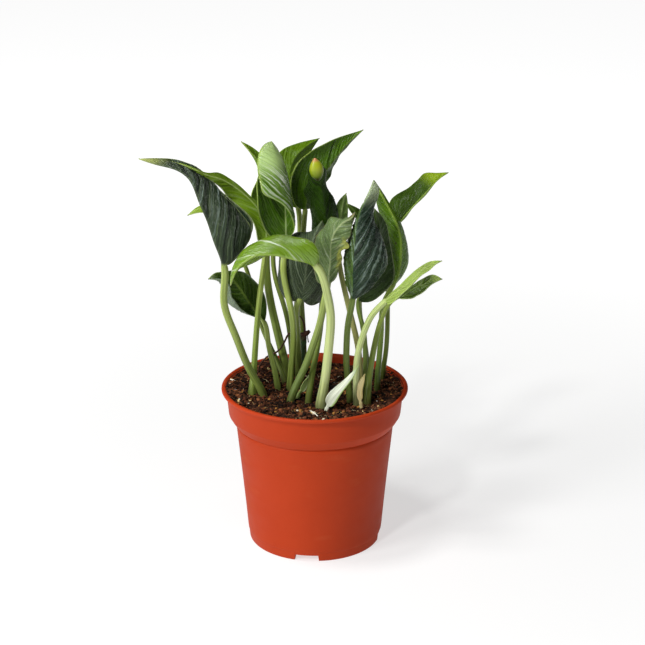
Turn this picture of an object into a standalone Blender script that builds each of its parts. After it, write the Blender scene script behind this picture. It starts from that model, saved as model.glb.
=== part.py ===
"""Potted pothos: a young plant of twenty-one folded and rolled leaves in a plastic nursery pot.

Lengths in this file are millimetres, turned to metres when a mesh is made. The origin is the
middle of the pot's underside, +Z is up, and the side that faces the viewer is -Y. Each leaf is
one body with its stalk, and every stalk stands in a plain hole in the soil.
"""
import math

import bmesh
import bpy
import numpy as np
from mathutils import Matrix

MM = 0.001
GAP = 0.3                   # clearance between pieces that touch

# Pot: a 12 cm nursery pot of injection-moulded plastic
POT_HEIGHT = 104.6
LIP_RADIUS = 60.0
LIP_WIDTH = 2.2
LIP_BEVEL_Z = 103.0         # foot of the bevel inside the lip
LIP_THICK = 2.2
COLLAR_RADIUS = 56.9        # just under the lip
COLLAR_FOOT_RADIUS = 55.4   # where the collar's lower chamfer starts
COLLAR_FOOT_Z = 86.9
BODY_RADIUS = 51.1          # body just under the collar
BODY_TOP_Z = 81.0
LEDGE = 0.6                 # small overhang where the collar meets the body
FOOT_RADIUS = 43.0
WALL = 1.1
STEP_Z = 6.0                # height of the fine step round the foot
PAD_RADIUS = 14.0           # flat pad in the middle of the base, which meets the table
BASE_RISE = 3.6             # underside of the base plate between pad and foot ring
BASE_THICK = 1.2
FOOT_RING = 2.6
NOTCHES = 4
NOTCH_WIDTH = 15.5
NOTCH_HEIGHT = 4.0
NOTCH_TURN = math.radians(-97.0)
DRAINS = 8
DRAIN_RADIUS = 3.2
DRAIN_CIRCLE = 27.5
POT_SIDES = 48

# Soil: coco peat, a little higher at the front and mounded round the stems
SOIL_EDGE_Z = 99.9
SOIL_TILT = 1.3             # rise at the front wall, fall at the back wall
MOUND_HEIGHT = 2.4
MOUND_PLACE = (-10.0, 10.0)
MOUND_SPREAD = 26.0
SIDE_RISE = 2.6             # the soil is pressed up against the walls at the left and right
SIDE_START = 28.0
LUMP_HEIGHT = 0.45
STEM_FOOT_Z = 101.0         # stalks' paths start at this height

# Leaves
BLADE_THICK = 0.8
STEM_SIDES_HALF = 5         # points on each face of a section, so ten round a stalk
STEM_ROWS = 8
BLADE_ROWS = 10
STEM_DEPTH = 14.0           # how far a stalk reaches into the soil
SHEATH_ROWS = (2, 5)
SHEATH_DEPTH = 7.0
FOOT_REACH = 9.0            # height over which a swollen foot thins out
TIP_RADIUS = 0.4
RIB_HEIGHT = 0.6            # share of the stalk's radius that the rib keeps under the blade
HOLE_CLEARANCE = 0.4

# A leaf is given by four routes of points: its stalk from the soil to the blade, its rib from
# there to the tip, and the blade's two margins. Seen from the upper face with the tip up, left
# is left. radius is the stalk's at the soil and at the blade, and bow is how far the left and
# right half of the blade stand off their chord, as a share of it: below zero they bulge on the
# under side. A bow may be a list that runs from the base to the tip.
LEAVES = {
    "leaf_left_drooping": dict(
        stem=[(-32.5, -12, 101), (-40.5, -15, 120), (-50, -19, 147), (-56, -22, 169), (-55, -24, 191)],
        rib=[(-57, -25, 200), (-60, -25, 208), (-64, -23, 220), (-70, -19, 233), (-76, -12, 244),
             (-85, -7, 249), (-96, -3, 251), (-108, 0, 254)],
        left=[(-46.5, -26, 200), (-40, -25, 208.5), (-38.5, -22, 215.5), (-43, -18, 222),
              (-49.5, -15, 228.5), (-56, -12, 234), (-61, -10, 240.5), (-68, -8, 245),
              (-77.5, -5, 249.5), (-87.5, -3, 252.5)],
        right=[(-47, -15, 196), (-42, -10, 203), (-38.5, -6, 209.5), (-38.5, -3.5, 215),
               (-42.5, -2, 220.5), (-49, -0.5, 226), (-56, 1, 231.5), (-60.5, 2, 235),
               (-64.5, 3.5, 240), (-69, 4.5, 244.5), (-74, 4, 248.5), (-78.5, 3, 250.5),
               (-83.5, 2, 252.5), (-93, 1, 254)],
        radius=(2.5, 2.3), foot=0.2, bow=(-0.16, -0.12), colour="3c5348"),
    "leaf_left_long": dict(
        stem=[(-39.5, -10.5, 101), (-38.5, -6, 121), (-36.5, -2, 147), (-34, 3, 170), (-30.5, 7, 198)],
        rib=[(-31.5, 9, 212), (-38, 10, 223), (-47, 10, 231.5), (-55, 8, 237.5), (-61, 4, 241),
             (-67, -0.5, 244), (-72.5, -3, 247.5), (-79, -3, 250), (-87.5, -2, 252.5)],
        left=[(-35, 4, 199.5), (-36.5, 4, 206.5), (-38.5, 5, 212), (-43, 6, 217.5), (-50.5, 6.5, 222),
              (-55, 5, 229.5), (-59, 1.5, 236), (-62.5, -1, 239.5), (-68.5, -4.5, 243.5),
              (-75, -5.5, 247.5), (-80.5, -4, 250.5), (-85, -2.5, 252)],
        right=[(-25, 11, 204), (-29, 15, 213), (-36.5, 17, 221.5), (-45, 18, 230), (-53.5, 15, 237.5),
               (-60.5, 9, 243), (-65, 4, 244), (-69.5, 0, 246), (-76, -2, 249.5), (-82, -2, 251.5)],
        radius=(2.0, 1.7), foot=1.0, bow=(-0.1, -0.1), colour="7da23a"),
    "leaf_left_small": dict(
        stem=[(-19, 7, 101), (-23, 12, 113), (-32.5, 18, 133), (-38, 21, 151), (-43, 22, 173),
              (-47, 22, 184), (-52, 21, 197)],
        rib=[(-57, 20, 208), (-64, 18, 216), (-72, 16, 218), (-80, 13, 214)],
        left=[(-56, 18, 202), (-62, 15, 212), (-71, 13, 216)],
        right=[(-53, 24, 209), (-61, 23, 217), (-71, 20, 219)],
        radius=(1.6, 1.3), foot=0.3, bow=(-0.1, -0.1), colour="7fa53c"),
    "leaf_left_cup": dict(
        stem=[(-23.5, -2.5, 101), (-26.5, 1, 118), (-30, 4, 134), (-32, 5, 145)],
        rib=[(-37, 6, 152), (-43.5, 8, 161), (-50, 8, 171), (-56, 4, 178), (-62, -1, 180.5),
             (-66.5, -6, 178)],
        left=[(-36.5, 6.5, 147.5), (-41.5, -1, 153), (-47, -6.5, 159.5), (-51.5, -9.5, 167),
              (-53, -10, 174), (-56, -9.5, 178.5), (-62, -8.5, 179)],
        right=[(-31, 11, 149.5), (-31, 14, 156), (-33.5, 16, 163.5), (-38, 16, 169.5), (-44, 14, 175.5),
               (-48.5, 11.5, 178), (-54.5, 8, 179), (-60, 2, 180)],
        radius=(2.0, 1.6), bow=((-0.2, -0.4, -0.45, -0.4, -0.3), -0.16), colour="3d7014"),
    "leaf_back_left": dict(
        stem=[(-18, 19.5, 101), (-20.5, 17, 118), (-26.5, 18, 145), (-30, 20, 165), (-31, 23, 185),
              (-31, 25, 197)],
        rib=[(-34, 28, 210), (-35, 31, 226), (-35, 35, 237), (-40, 40, 247), (-47, 45, 254)],
        left=[(-36, 26, 206), (-40, 25, 218), (-40, 27, 225), (-36, 31, 233), (-35, 34, 239),
              (-37, 37, 245), (-42, 41, 249)],
        right=[(-25, 31, 203), (-24, 34, 216), (-26, 39, 230), (-32, 43, 243), (-40, 46, 250)],
        radius=(2.9, 2.2), bow=(-0.1, -0.1), colour="4f8a1c"),
    "leaf_back_inner": dict(
        stem=[(-15, 26.5, 101), (-15.5, 24, 122), (-20.5, 17, 155), (-25, 17, 171), (-26.5, 17, 186),
              (-25, 16, 200)],
        rib=[(-23, 16, 214), (-21, 17, 230), (-19, 20, 243)],
        left=[(-28, 18, 212), (-26, 20, 224), (-22, 21, 236)],
        right=[(-19, 13, 212), (-16, 14, 225), (-16, 17, 235)],
        radius=(1.7, 1.5), bow=(-0.12, -0.12), colour="4f8a1c"),
    "leaf_back_top": dict(
        stem=[(-7.5, 43.5, 101), (-8, 38, 130), (-9, 37, 149), (-9.5, 34, 197), (-10.5, 32, 213)],
        rib=[(-14, 33, 225), (-16, 37, 236), (-12, 42, 245), (-6, 47, 250), (3, 54, 254)],
        left=[(-18, 30, 217), (-23, 32, 228), (-25, 36, 239), (-23, 42, 247), (-14, 49, 251)],
        right=[(-7, 36, 219), (-7, 40, 231), (-6, 45, 239), (-2, 50, 247)],
        radius=(2.1, 1.7), bow=(-0.08, -0.08), colour="35700f"),
    "leaf_back_right": dict(
        stem=[(-10.5, 34, 101), (-11.5, 30, 124), (-11.5, 28, 153), (-8, 23, 191), (-6, 20, 215)],
        rib=[(-4, 21, 225), (2, 24, 234), (10, 30, 242), (19, 38, 252), (31, 48, 261)],
        left=[(-12, 16, 220), (-15, 16, 230), (-12, 20, 244), (-2, 27, 252), (10, 35, 257),
              (20, 42, 259)],
        right=[(0, 26, 218), (5, 30, 227), (10, 34, 235), (14, 39, 243), (19, 44, 249), (25, 47, 255)],
        radius=(2.0, 1.7), bow=(-0.12, -0.1), colour="3c7a12"),
    "leaf_centre_hooded": dict(
        stem=[(-16, -1.5, 101), (-14, -3, 129), (-14, -8, 153), (-17.5, -9, 172), (-19.5, -8, 186),
              (-18, -2, 202)],
        rib=[(-18, 3, 213.5), (-18, 6, 225), (-17.5, 8, 236), (-19.5, 7, 247.5), (-22.5, 4, 258),
             (-26.5, -1, 265)],
        left=[(-27, -3, 204.5), (-32, -5, 213.5), (-35, -6, 224), (-35.5, -5, 234), (-34.5, -2, 243.5),
              (-32, 0, 251), (-29.5, 0, 259)],
        right=[(-12.5, -6, 210), (-14, -10, 219.5), (-18.5, -12, 227), (-25.5, -13, 232),
               (-31, -13, 235), (-33, -12.5, 241), (-34.5, -11, 248.5), (-34.5, -9, 255.5),
               (-33, -6, 261), (-30, -3, 264)],
        radius=(2.1, 1.9), foot=0.3,
        bow=(-0.1, (-0.2, -0.2, -0.24, -0.3, -0.4, -0.44, -0.44)), colour="b7d08a"),
    "leaf_rolled_tip": dict(
        stem=[(-4, -22, 101), (-0.5, -14, 123), (3.5, -4, 145), (5.5, 8, 169), (7, 10, 189),
              (8, 9, 204)],
        rib=[(7, 5, 215), (5, 3, 227), (4, 2, 235), (2, -3, 243), (1, -6, 250), (-1, -4, 255)],
        left=[(14, 14, 208), (14, 16, 217), (10, 13, 228), (7, 6, 237), (7, 0, 246), (3, -2, 252)],
        right=[(-0.5, 11.5, 203), (-2, 12, 213.5), (-4, 12, 224), (-6.5, 9.5, 231), (-4, 5, 238.5),
               (-4, 0, 246), (-3.5, -2, 251.5)],
        radius=(2.0, 1.8), bow=(-0.2, -0.2), colour="27421f"),
    "leaf_centre_ragged": dict(
        stem=[(-15.5, -23, 101), (-6, -21, 125), (-1, -20, 139), (3, -20, 152), (6, -20, 167),
              (8, -19, 178)],
        rib=[(9, -21, 187.5), (10, -23.5, 196.5), (10.5, -25.5, 205), (11.5, -27.5, 212),
             (14.5, -30, 218.5), (19, -31.5, 223), (23.5, -30, 225.5), (24.5, -27, 227.5)],
        left=[(12, -18, 181), (15.5, -22, 192), (17, -26, 199), (16.5, -28, 203), (21.5, -29.5, 207),
              (19.5, -30, 210), (22, -31.5, 214), (22.5, -31.5, 218.5), (23.5, -30.5, 222.5),
              (24.5, -27.5, 225)],
        right=[(3, -17, 179), (-0.5, -16, 190.5), (-1, -16, 201), (1.5, -17, 209), (4.5, -17.5, 214),
               (8, -18, 218), (9.5, -19, 222), (14.5, -21, 222), (20, -23.5, 222), (23, -24, 224.5)],
        radius=(2.4, 2.1), bow=(-0.08, -0.1), colour="6d8a58"),
    "leaf_small_pale": dict(
        stem=[(29.5, -7, 101), (27.5, -2, 132), (24, 2, 147), (19.5, 6, 165), (16, 10, 181),
              (15, 13, 195)],
        rib=[(16, 15, 204), (17, 18, 214), (20, 23, 226)],
        left=[(12, 16, 200), (12, 19, 212), (15, 21, 221)],
        right=[(19, 17, 199), (21, 20, 211), (21, 22, 220)],
        radius=(2.0, 1.6), bow=(-0.1, -0.1), colour="6f9a4a"),
    "leaf_small_dark": dict(
        stem=[(35, 1, 101), (32.5, 3, 131), (29, 4, 153), (30, 5, 176), (32, 7, 198)],
        rib=[(30, 8, 209), (25, 9, 218), (20, 10, 223)],
        left=[(28, 5, 205), (26, 6, 214), (22, 8, 219)],
        right=[(34, 11, 208), (30, 12, 217), (24, 11, 221)],
        radius=(1.4, 1.2), bow=(-0.1, -0.1), colour="355c2c"),
    "leaf_centre_hanging": dict(
        stem=[(-10.5, 12.5, 101), (-10.5, 6, 118), (-11.5, 1, 144), (-11.5, -3, 158), (-9, -7, 166)],
        rib=[(-6, -11, 177), (-5, -13, 188), (-3, -11, 197), (0, -5, 206), (5, 2, 214)],
        left=[(-2, -4, 160), (5, -1, 163), (7, 0, 176), (8, 1, 188), (8, 2, 201)],
        right=[(-16, -2, 162), (-21, 5, 166), (-23, 9, 176), (-22, 11, 189), (-17, 11, 199),
               (-10, 9, 204), (-3, 5, 204)],
        radius=(2.2, 1.9), bow=(-0.14, -0.18), colour="5a7552"),
    "leaf_right_glossy": dict(
        stem=[(22.5, -20.5, 101), (20, -23, 128), (20, -24, 140), (21, -25, 156), (23.5, -27, 171)],
        rib=[(24, -31, 184), (24, -34, 198), (25, -35, 211), (26, -34, 221), (29, -31, 231),
             (33, -28, 239), (36, -25, 247)],
        left=[(31, -25, 175), (39, -24, 183), (44, -23, 193), (44, -22, 203), (40, -21, 213),
              (36, -21, 222), (37, -22, 232), (39, -23, 241)],
        right=[(21, -21, 176.5), (19, -15.5, 186), (19, -13, 196.5), (22, -14, 207.5),
               (26.5, -18, 218.5), (29, -23, 228.5), (33, -26, 240)],
        radius=(2.1, 1.9), bow=(-0.16, -0.1), colour="2f4a3a"),
    "leaf_right_behind": dict(
        stem=[(32.5, -19, 101), (32, -12, 129), (31, -10, 145), (28.5, -9, 155), (27.5, -8, 164)],
        rib=[(32, -10, 174), (36, -12, 186), (38.5, -13, 199.5), (40, -13, 211.5), (39, -12.5, 219.5),
             (37, -12, 225.5)],
        left=[(28, -6, 174), (28, -5, 185), (31, -5, 198), (34, -7, 211.5), (36, -9, 220)],
        right=[(34.5, -6, 163), (43.5, -4, 168.5), (49.5, -3, 176), (50, -3, 184.5), (48, -4, 196.5),
               (46, -6, 208), (42.5, -9, 218.5)],
        radius=(1.6, 1.4), bow=(-0.1, -0.12), colour="27451c"),
    "leaf_right_folded": dict(
        stem=[(40, -3.5, 101), (41, -1, 120), (42.5, 2, 143), (44, 4, 159), (49.5, 5, 170)],
        rib=[(53, 3, 180), (54, 2, 189), (54, 3, 200), (52, 5, 209), (46, 8, 221), (38, 12, 236)],
        left=[(55, 10, 174), (59, 12, 184), (59, 13, 193), (56, 14, 204), (50, 15, 215), (44, 15, 226)],
        right=[(47, 9, 172), (45, 12, 182), (45, 13, 196), (43, 13, 208), (39, 13, 223)],
        radius=(1.9, 1.6), bow=(-0.12, -0.1), colour="5d8f26"),
    "leaf_front_arch": dict(
        stem=[(4, -29.5, 101), (6.5, -31, 120), (9, -33, 144), (10, -35, 164), (7, -37, 183),
              (1.5, -39, 197)],
        rib=[(-4, -41, 201), (-11, -43, 203), (-18, -44, 205), (-27, -44, 206), (-35, -43, 205),
             (-40, -42, 202), (-46, -40, 196), (-51, -37, 184)],
        left=[(3, -42, 204), (0, -40, 211), (-7, -37, 214), (-16, -34, 215), (-26, -33, 214),
              (-34, -33, 211), (-41, -34, 207), (-47, -35, 200), (-50, -36, 193)],
        right=[(3, -31, 197), (-1, -28, 203), (-8.5, -27, 206), (-17, -28, 207), (-25, -29, 204),
               (-31, -30, 200), (-36.5, -30, 197), (-41.5, -31, 196), (-46, -32, 194.5),
               (-49.5, -34, 190)],
        radius=(3.0, 2.5), foot=0.5, bow=(-0.2, -0.1), colour="5f9a1a"),
    "leaf_right_high": dict(
        stem=[(44, 18.5, 101), (46, 15, 121), (47, 18, 150), (48, 20, 176), (50.5, 20, 196),
              (53, 19, 207)],
        rib=[(57, 20, 211), (61, 22, 216), (70, 26, 224), (78, 29, 233), (85, 32, 237)],
        left=[(49.5, 24, 210), (48, 30, 217), (51.5, 33, 221), (56, 35, 223.5), (60.5, 36, 226),
              (64, 37, 229), (66.5, 37, 231.5), (69, 36.5, 234.5), (75.5, 34.5, 236)],
        right=[(55, 13, 211.5), (60.5, 13.5, 218), (67, 17, 224.5), (73.5, 22, 230), (79.5, 27, 234.5)],
        radius=(1.7, 1.4), bow=(0.12, 0.1), colour="3c6a18"),
    "leaf_right_rolled": dict(
        stem=[(26.5, -24, 101), (26, -26, 125), (27.5, -28, 139), (31, -29, 152), (36.5, -30, 164),
              (42.5, -31, 171)],
        rib=[(48, -32, 177), (54, -33, 182), (60, -33, 187), (65, -32, 192), (71, -30, 195),
             (78, -28, 197)],
        left=[(45, -28, 174), (51, -26, 179), (56, -25, 184), (61, -25, 189), (66, -25, 193),
              (71, -26, 196)],
        right=[(46, -36, 172), (52, -38, 178), (59, -38, 185), (64, -37, 190), (70, -34, 193),
               (74, -31, 196)],
        radius=(2.2, 1.9), foot=0.15, bow=(-0.25, -0.25), colour="8db356"),
    "leaf_right_curled": dict(
        stem=[(33, -25.5, 101), (34.5, -20, 118), (37.5, -17, 137), (41.5, -14, 153), (46, -12, 163),
              (51, -11, 167.5)],
        rib=[(57, -11, 170), (62, -11, 174), (68, -10, 176), (74, -8, 179), (80, -6, 178)],
        left=[(55, -5, 170), (61, -3, 173), (68, -2, 177), (74, -3, 180)],
        right=[(55, -15, 168), (61, -18, 170), (66, -17, 172), (72, -13, 176)],
        radius=(2.2, 1.5), foot=0.3, bow=(-0.15, -0.2), colour="3d6a20"),
}

# Dry sheaths that stand among the stalks' feet, made as small leaves with hardly any stalk
SHEATHS = {
    "sheath_front": dict(
        stem=[(7.5, -34.5, 101), (8, -35, 103)],
        rib=[(9.5, -36, 107), (15, -37, 115), (21, -36.5, 122.5), (27.5, -34.5, 131)],
        left=[(7, -36, 109), (10.5, -36, 115), (16, -36, 120), (22, -35, 125.5)],
        right=[(11, -37, 104.5), (15, -37.5, 110.5), (19.5, -37.5, 117.5), (24.5, -36, 124.5)],
        radius=(1.3, 1.2), bow=(-0.1, -0.1), colour="d5ddb5"),
    "sheath_right": dict(
        stem=[(29.5, -30.5, 102), (29, -31, 105)],
        rib=[(28, -31.5, 109), (28, -32, 114.5), (29.5, -31.5, 120), (31.5, -30.5, 124)],
        left=[(27, -31.5, 107.5), (26.5, -32, 113), (27.5, -32, 118.5)],
        right=[(30, -31.5, 107.5), (30, -32, 113), (31, -31.5, 118.5)],
        radius=(1.1, 1.0), bow=(-0.1, -0.1), colour="cdb98a"),
    "sheath_middle": dict(
        stem=[(-10.5, -16.5, 103), (-10, -15.2, 104.5)],
        rib=[(-8, -13.5, 106.5), (-5.5, -13, 111.5), (-3, -12, 116.5)],
        left=[(-9.5, -14, 106.5), (-6.5, -13.5, 112.5)],
        right=[(-6.5, -13.5, 105.5), (-4, -12.5, 111)],
        radius=(1.1, 1.0), bow=(-0.1, -0.1), colour="b8c88a"),
}

# Old stem: a dead stub with a thin root that runs over to the soil and a curled one on its top
STUB = [(-8, 25, 88), (-8, 25, 101), (-8.5, 24, 111), (-8.5, 23, 123.5), (-7.5, 22, 132)]
STUB_RADIUS = 1.9
STUB_WIDTHS = (1.0, 1.0, 0.9, 0.8, 0.85, 1.3, 1.15)    # shares of the radius, up to the broken top
AIR_ROOT = [(-8.5, 22, 128.5), (-12, 16, 134), (-16.5, 10, 136), (-20.5, 9.5, 128.5),
            (-24.5, 10, 123.5), (-29, 12, 120.5), (-33, 20, 114.5), (-37, 28, 105), (-38, 30, 94)]
CURLED_ROOT = [(-8.5, 22, 130), (-6.5, 20.5, 136), (-7.5, 20, 141), (-9.5, 20, 144.5)]
ROOT_RADIUS = 0.55
ROOT_SIDES = 6

COLOURS = {"pot": ("c5492b", 0.42), "soil": ("3a2118", 0.95), "old_stem": ("4d3a24", 0.8)}
LEAF_ROUGHNESS = 0.35


def clear_scene():
    for old in list(bpy.data.objects):
        bpy.data.objects.remove(old, do_unlink=True)


def linear(channel):
    """Turn one sRGB channel, 0 to 1, to linear light."""
    return channel / 12.92 if channel <= 0.04045 else ((channel + 0.055) / 1.055) ** 2.4


def material(name, colour, roughness):
    made = bpy.data.materials.new(name)
    made.use_nodes = True
    shader = made.node_tree.nodes["Principled BSDF"]
    channels = [linear(int(colour[i:i + 2], 16) / 255.0) for i in (0, 2, 4)]
    shader.inputs["Base Color"].default_value = (*channels, 1.0)
    shader.inputs["Roughness"].default_value = roughness
    shader.inputs["Metallic"].default_value = 0.0
    return made


def add_object(name, bm, colour, roughness):
    """Finish a bmesh drawn in millimetres as a named object in metres with its own material."""
    bmesh.ops.scale(bm, vec=(MM, MM, MM), verts=bm.verts)
    bmesh.ops.recalc_face_normals(bm, faces=bm.faces)
    mesh = bpy.data.meshes.new(name)
    bm.to_mesh(mesh)
    bm.free()
    mesh.shade_smooth()
    mesh.set_sharp_from_angle(angle=math.radians(40.0))
    mesh.materials.append(material(name, colour, roughness))
    made = bpy.data.objects.new(name, mesh)
    bpy.context.scene.collection.objects.link(made)
    return made


def add_cutter(name, bm):
    made = add_object(name, bm, "808080", 0.5)
    made.hide_render = True
    made.display_type = "WIRE"
    return made


def boolean(target, cutter, operation="DIFFERENCE"):
    cut = target.modifiers.new(cutter.name, "BOOLEAN")
    cut.object = cutter
    cut.operation = operation
    cut.solver = "EXACT"


def turned(profile, sides):
    """Turn a profile of (radius, height) round Z; a point at radius 0 becomes a pole."""
    bm = bmesh.new()
    verts = [bm.verts.new((radius, 0.0, height)) for radius, height in profile]
    edges = [bm.edges.new(pair) for pair in zip(verts, verts[1:])]
    bmesh.ops.spin(bm, geom=verts + edges, cent=(0, 0, 0), axis=(0, 0, 1), angle=math.tau,
                   steps=sides, use_merge=True)
    bmesh.ops.remove_doubles(bm, verts=bm.verts, dist=0.001)
    return bm


# Routes

def unit(vectors):
    vectors = np.asarray(vectors, float)
    return vectors / np.maximum(np.linalg.norm(vectors, axis=-1, keepdims=True), 1e-9)


class Route:
    """A smooth curve through points: cubic pieces that share their slopes, by length of chord."""

    def __init__(self, points, start=None):
        self.points = np.asarray(points, float)
        self.chords = np.linalg.norm(np.diff(self.points, axis=0), axis=1)
        self.stops = np.concatenate([[0.0], np.cumsum(self.chords)])
        self.length = self.stops[-1]
        count = len(self.points)
        matrix = np.zeros((count, count))
        target = np.zeros((count, 3))
        steps = np.diff(self.points, axis=0) / self.chords[:, None]
        for i in range(1, count - 1):
            before, after = 1.0 / self.chords[i - 1], 1.0 / self.chords[i]
            matrix[i, i - 1:i + 2] = before, 2.0 * (before + after), after
            target[i] = 3.0 * (steps[i - 1] * before + steps[i] * after)
        matrix[0, :2] = (2.0, 1.0) if start is None else (1.0, 0.0)
        target[0] = 3.0 * steps[0] if start is None else start
        matrix[-1, -2:] = 1.0, 2.0
        target[-1] = 3.0 * steps[-1]
        self.slopes = np.linalg.solve(matrix, target)

    def at(self, place):
        place = np.clip(np.atleast_1d(place), 0.0, self.length)
        piece = np.clip(np.searchsorted(self.stops, place, side="right") - 1, 0, len(self.chords) - 1)
        chord = self.chords[piece][:, None]
        t = (place - self.stops[piece])[:, None] / chord
        begin, end = self.points[piece], self.points[piece + 1]
        leave, arrive = self.slopes[piece] * chord, self.slopes[piece + 1] * chord
        return ((2 * t**3 - 3 * t**2 + 1) * begin + (t**3 - 2 * t**2 + t) * leave
                + (3 * t**2 - 2 * t**3) * end + (t**3 - t**2) * arrive)

    def heading(self, place):
        step = 1e-3 * self.length
        place = np.clip(place, step, self.length - step)
        return unit(self.at(place + step) - self.at(place - step))


# Leaves

def foot_heading(stem):
    """A stalk stands steeper in the soil than the stretch above it."""
    rise = unit(np.subtract(stem[1], stem[0]))
    return unit(rise * (0.5, 0.5, 1.0))


def ease(x):
    x = np.clip(x, 0.0, 1.0)
    return x * x * (3.0 - 2.0 * x)


def leaf_sections(plan, rows, half_count, depth):
    """Sections of one leaf, foot to tip, each a ring of points: upper face, then under face.

    Up the stalk a section is round. In the blade each half runs from the rib to its margin
    and bows off that chord as a parabola, with the thickness set off along the face's normal
    and a ridge under the rib. Where the blade is hardly wider than the stalk, at its base and
    tip, the two forms are mixed, so the stalk flows into the blade and the tip closes.
    """
    stem_rows, blade_rows = rows
    stem, rib = plan["stem"], plan["rib"]
    down = foot_heading(stem)
    line = Route(stem + rib, start=down)
    base = line.stops[len(stem) - 1]
    margins = [Route([stem[-1]] + plan[side] + [rib[-1]]) for side in ("left", "right")]

    along = np.linspace(0.0, 1.0, blade_rows + 1)[1:]
    stem_places = np.linspace(0.0, base, stem_rows + 1)
    places = np.concatenate([stem_places, base + (line.length - base) * along])
    middles, headings = line.at(places), line.heading(places)

    def chords(share):
        ribs = line.at(base + (line.length - base) * share)
        return [margin.at(margin.length * share) - ribs for margin in margins]

    reach = chords(along)
    spread = chords(np.clip(along, 0.1, 0.9))     # a sound direction at base and tip too
    blade_headings = headings[stem_rows + 1:]
    normals = [unit(np.cross(blade_headings, spread[0])), unit(np.cross(spread[1], blade_headings))]
    upward = unit(normals[0] + normals[1])

    # The direction of the upper face is carried down the stalk from the blade's base
    faces = np.zeros_like(middles)
    faces[stem_rows + 1:] = upward
    for i in range(stem_rows, -1, -1):
        faces[i] = faces[i + 1]
        faces[i] = unit(faces[i] - headings[i] * (faces[i] @ headings[i]))
    faces = unit(faces - headings * np.sum(faces * headings, axis=1, keepdims=True))
    sides = np.cross(headings, faces)

    radii = np.concatenate([np.interp(stem_places, [0.0, base], plan["radius"]),
                            plan["radius"][1] * (1.0 - along) + TIP_RADIUS * along])
    radii[:stem_rows + 1] += plan.get("foot", 0.0) * np.exp(-(stem_places / FOOT_REACH) ** 2)
    count = 2 * half_count + 1
    angles = math.pi - (np.arange(count) + 0.5) * math.pi / count

    def round_row(i, face):
        turn = angles * face
        return middles[i] + radii[i] * (np.cos(turn)[:, None] * sides[i]
                                        + np.sin(turn)[:, None] * faces[i])

    bows = [np.interp(along, np.linspace(0.0, 1.0, len(np.atleast_1d(bow))), np.atleast_1d(bow))
            for bow in plan["bow"]]
    share = np.linspace(-1.0, 1.0, count)
    out = np.abs(share)[:, None]

    def by_half(left, right):
        return np.where(share[:, None] > 0.0, right, left)

    rings = [np.vstack([round_row(i, 1), round_row(i, -1)[::-1]]) for i in range(stem_rows + 1)]
    rings.insert(0, rings[0] - down * depth)
    for row in range(blade_rows):
        i = stem_rows + 1 + row
        chord = by_half(reach[0][row], reach[1][row])
        width = np.linalg.norm(chord, axis=1, keepdims=True)
        normal = by_half(normals[0][row], normals[1][row])
        bow = by_half(bows[0][row], bows[1][row])
        middle = middles[i] + out * chord + bow * 4.0 * out * (1.0 - out) * width * normal
        lean = by_half(spread[0][row], spread[1][row])
        run = lean + bow * 4.0 * (1.0 - 2.0 * out) * np.linalg.norm(lean, axis=1, keepdims=True) * normal
        off = by_half(np.cross(blade_headings[row], run), np.cross(run, blade_headings[row]))
        off = np.where(share[:, None] == 0.0, upward[row], unit(off))
        ridge = RIB_HEIGHT * radii[i] * np.exp(-(out * width / radii[i]) ** 2)
        upper = middle + off * BLADE_THICK / 2.0
        under = middle - off * (BLADE_THICK / 2.0 + ridge)
        mix = ease(width / (2.5 * radii[i]))
        upper = mix * upper + (1.0 - mix) * round_row(i, 1)
        under = mix * under + (1.0 - mix) * round_row(i, -1)
        rings.append(np.vstack([upper, under[::-1]]))
    return rings


def skin(rings):
    """Join sections into one closed body of triangles, split alike on the upper and under face."""
    bm = bmesh.new()
    loops = [[bm.verts.new(point) for point in ring] for ring in rings]
    count = len(loops[0])
    for low, high in zip(loops, loops[1:]):
        for j in range(count):
            k = (j + 1) % count
            if j < count // 2:
                bm.faces.new((low[j], low[k], high[k]))
                bm.faces.new((low[j], high[k], high[j]))
            else:
                bm.faces.new((low[j], low[k], high[j]))
                bm.faces.new((low[k], high[k], high[j]))
    for loop in (loops[0], loops[-1]):
        centre = bm.verts.new(np.mean([v.co for v in loop], axis=0))
        for j in range(count):
            bm.faces.new((loop[j], loop[(j + 1) % count], centre))
    return bm


def leaf_mesh(plan):
    return skin(leaf_sections(plan, (STEM_ROWS, BLADE_ROWS), STEM_SIDES_HALF // 2, STEM_DEPTH))


def sheath_mesh(plan):
    return skin(leaf_sections(plan, SHEATH_ROWS, STEM_SIDES_HALF // 2, SHEATH_DEPTH))


def tube(points, radius, sides, rows, widths=(1.0, 0.8)):
    """A round rod along a route; widths are shares of the radius from its foot to its far end."""
    line = Route(points)
    places = np.linspace(0.0, line.length, rows + 1)
    middles, headings = line.at(places), line.heading(places)
    across = unit(np.cross(headings, (0.3, 1.0, 0.1)))
    beside = np.cross(headings, across)
    turn = np.arange(sides) * math.tau / sides
    circle = np.cos(turn)[:, None, None] * across + np.sin(turn)[:, None, None] * beside
    shares = np.interp(np.linspace(0.0, 1.0, rows + 1), np.linspace(0.0, 1.0, len(widths)), widths)
    swell = radius * shares[:, None]
    return skin(list((middles + circle * swell).transpose(1, 0, 2)))


# Pot and soil

def inside_radius(height):
    """The pot's inner wall at a height, which follows the outer one a wall's thickness in."""
    heights = [BASE_RISE, BODY_TOP_Z + 0.4, COLLAR_FOOT_Z + 0.8, POT_HEIGHT]
    radii = [FOOT_RADIUS + 0.2, BODY_RADIUS, COLLAR_FOOT_RADIUS, COLLAR_RADIUS + 0.2]
    return float(np.interp(height, heights, radii)) - WALL


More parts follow.
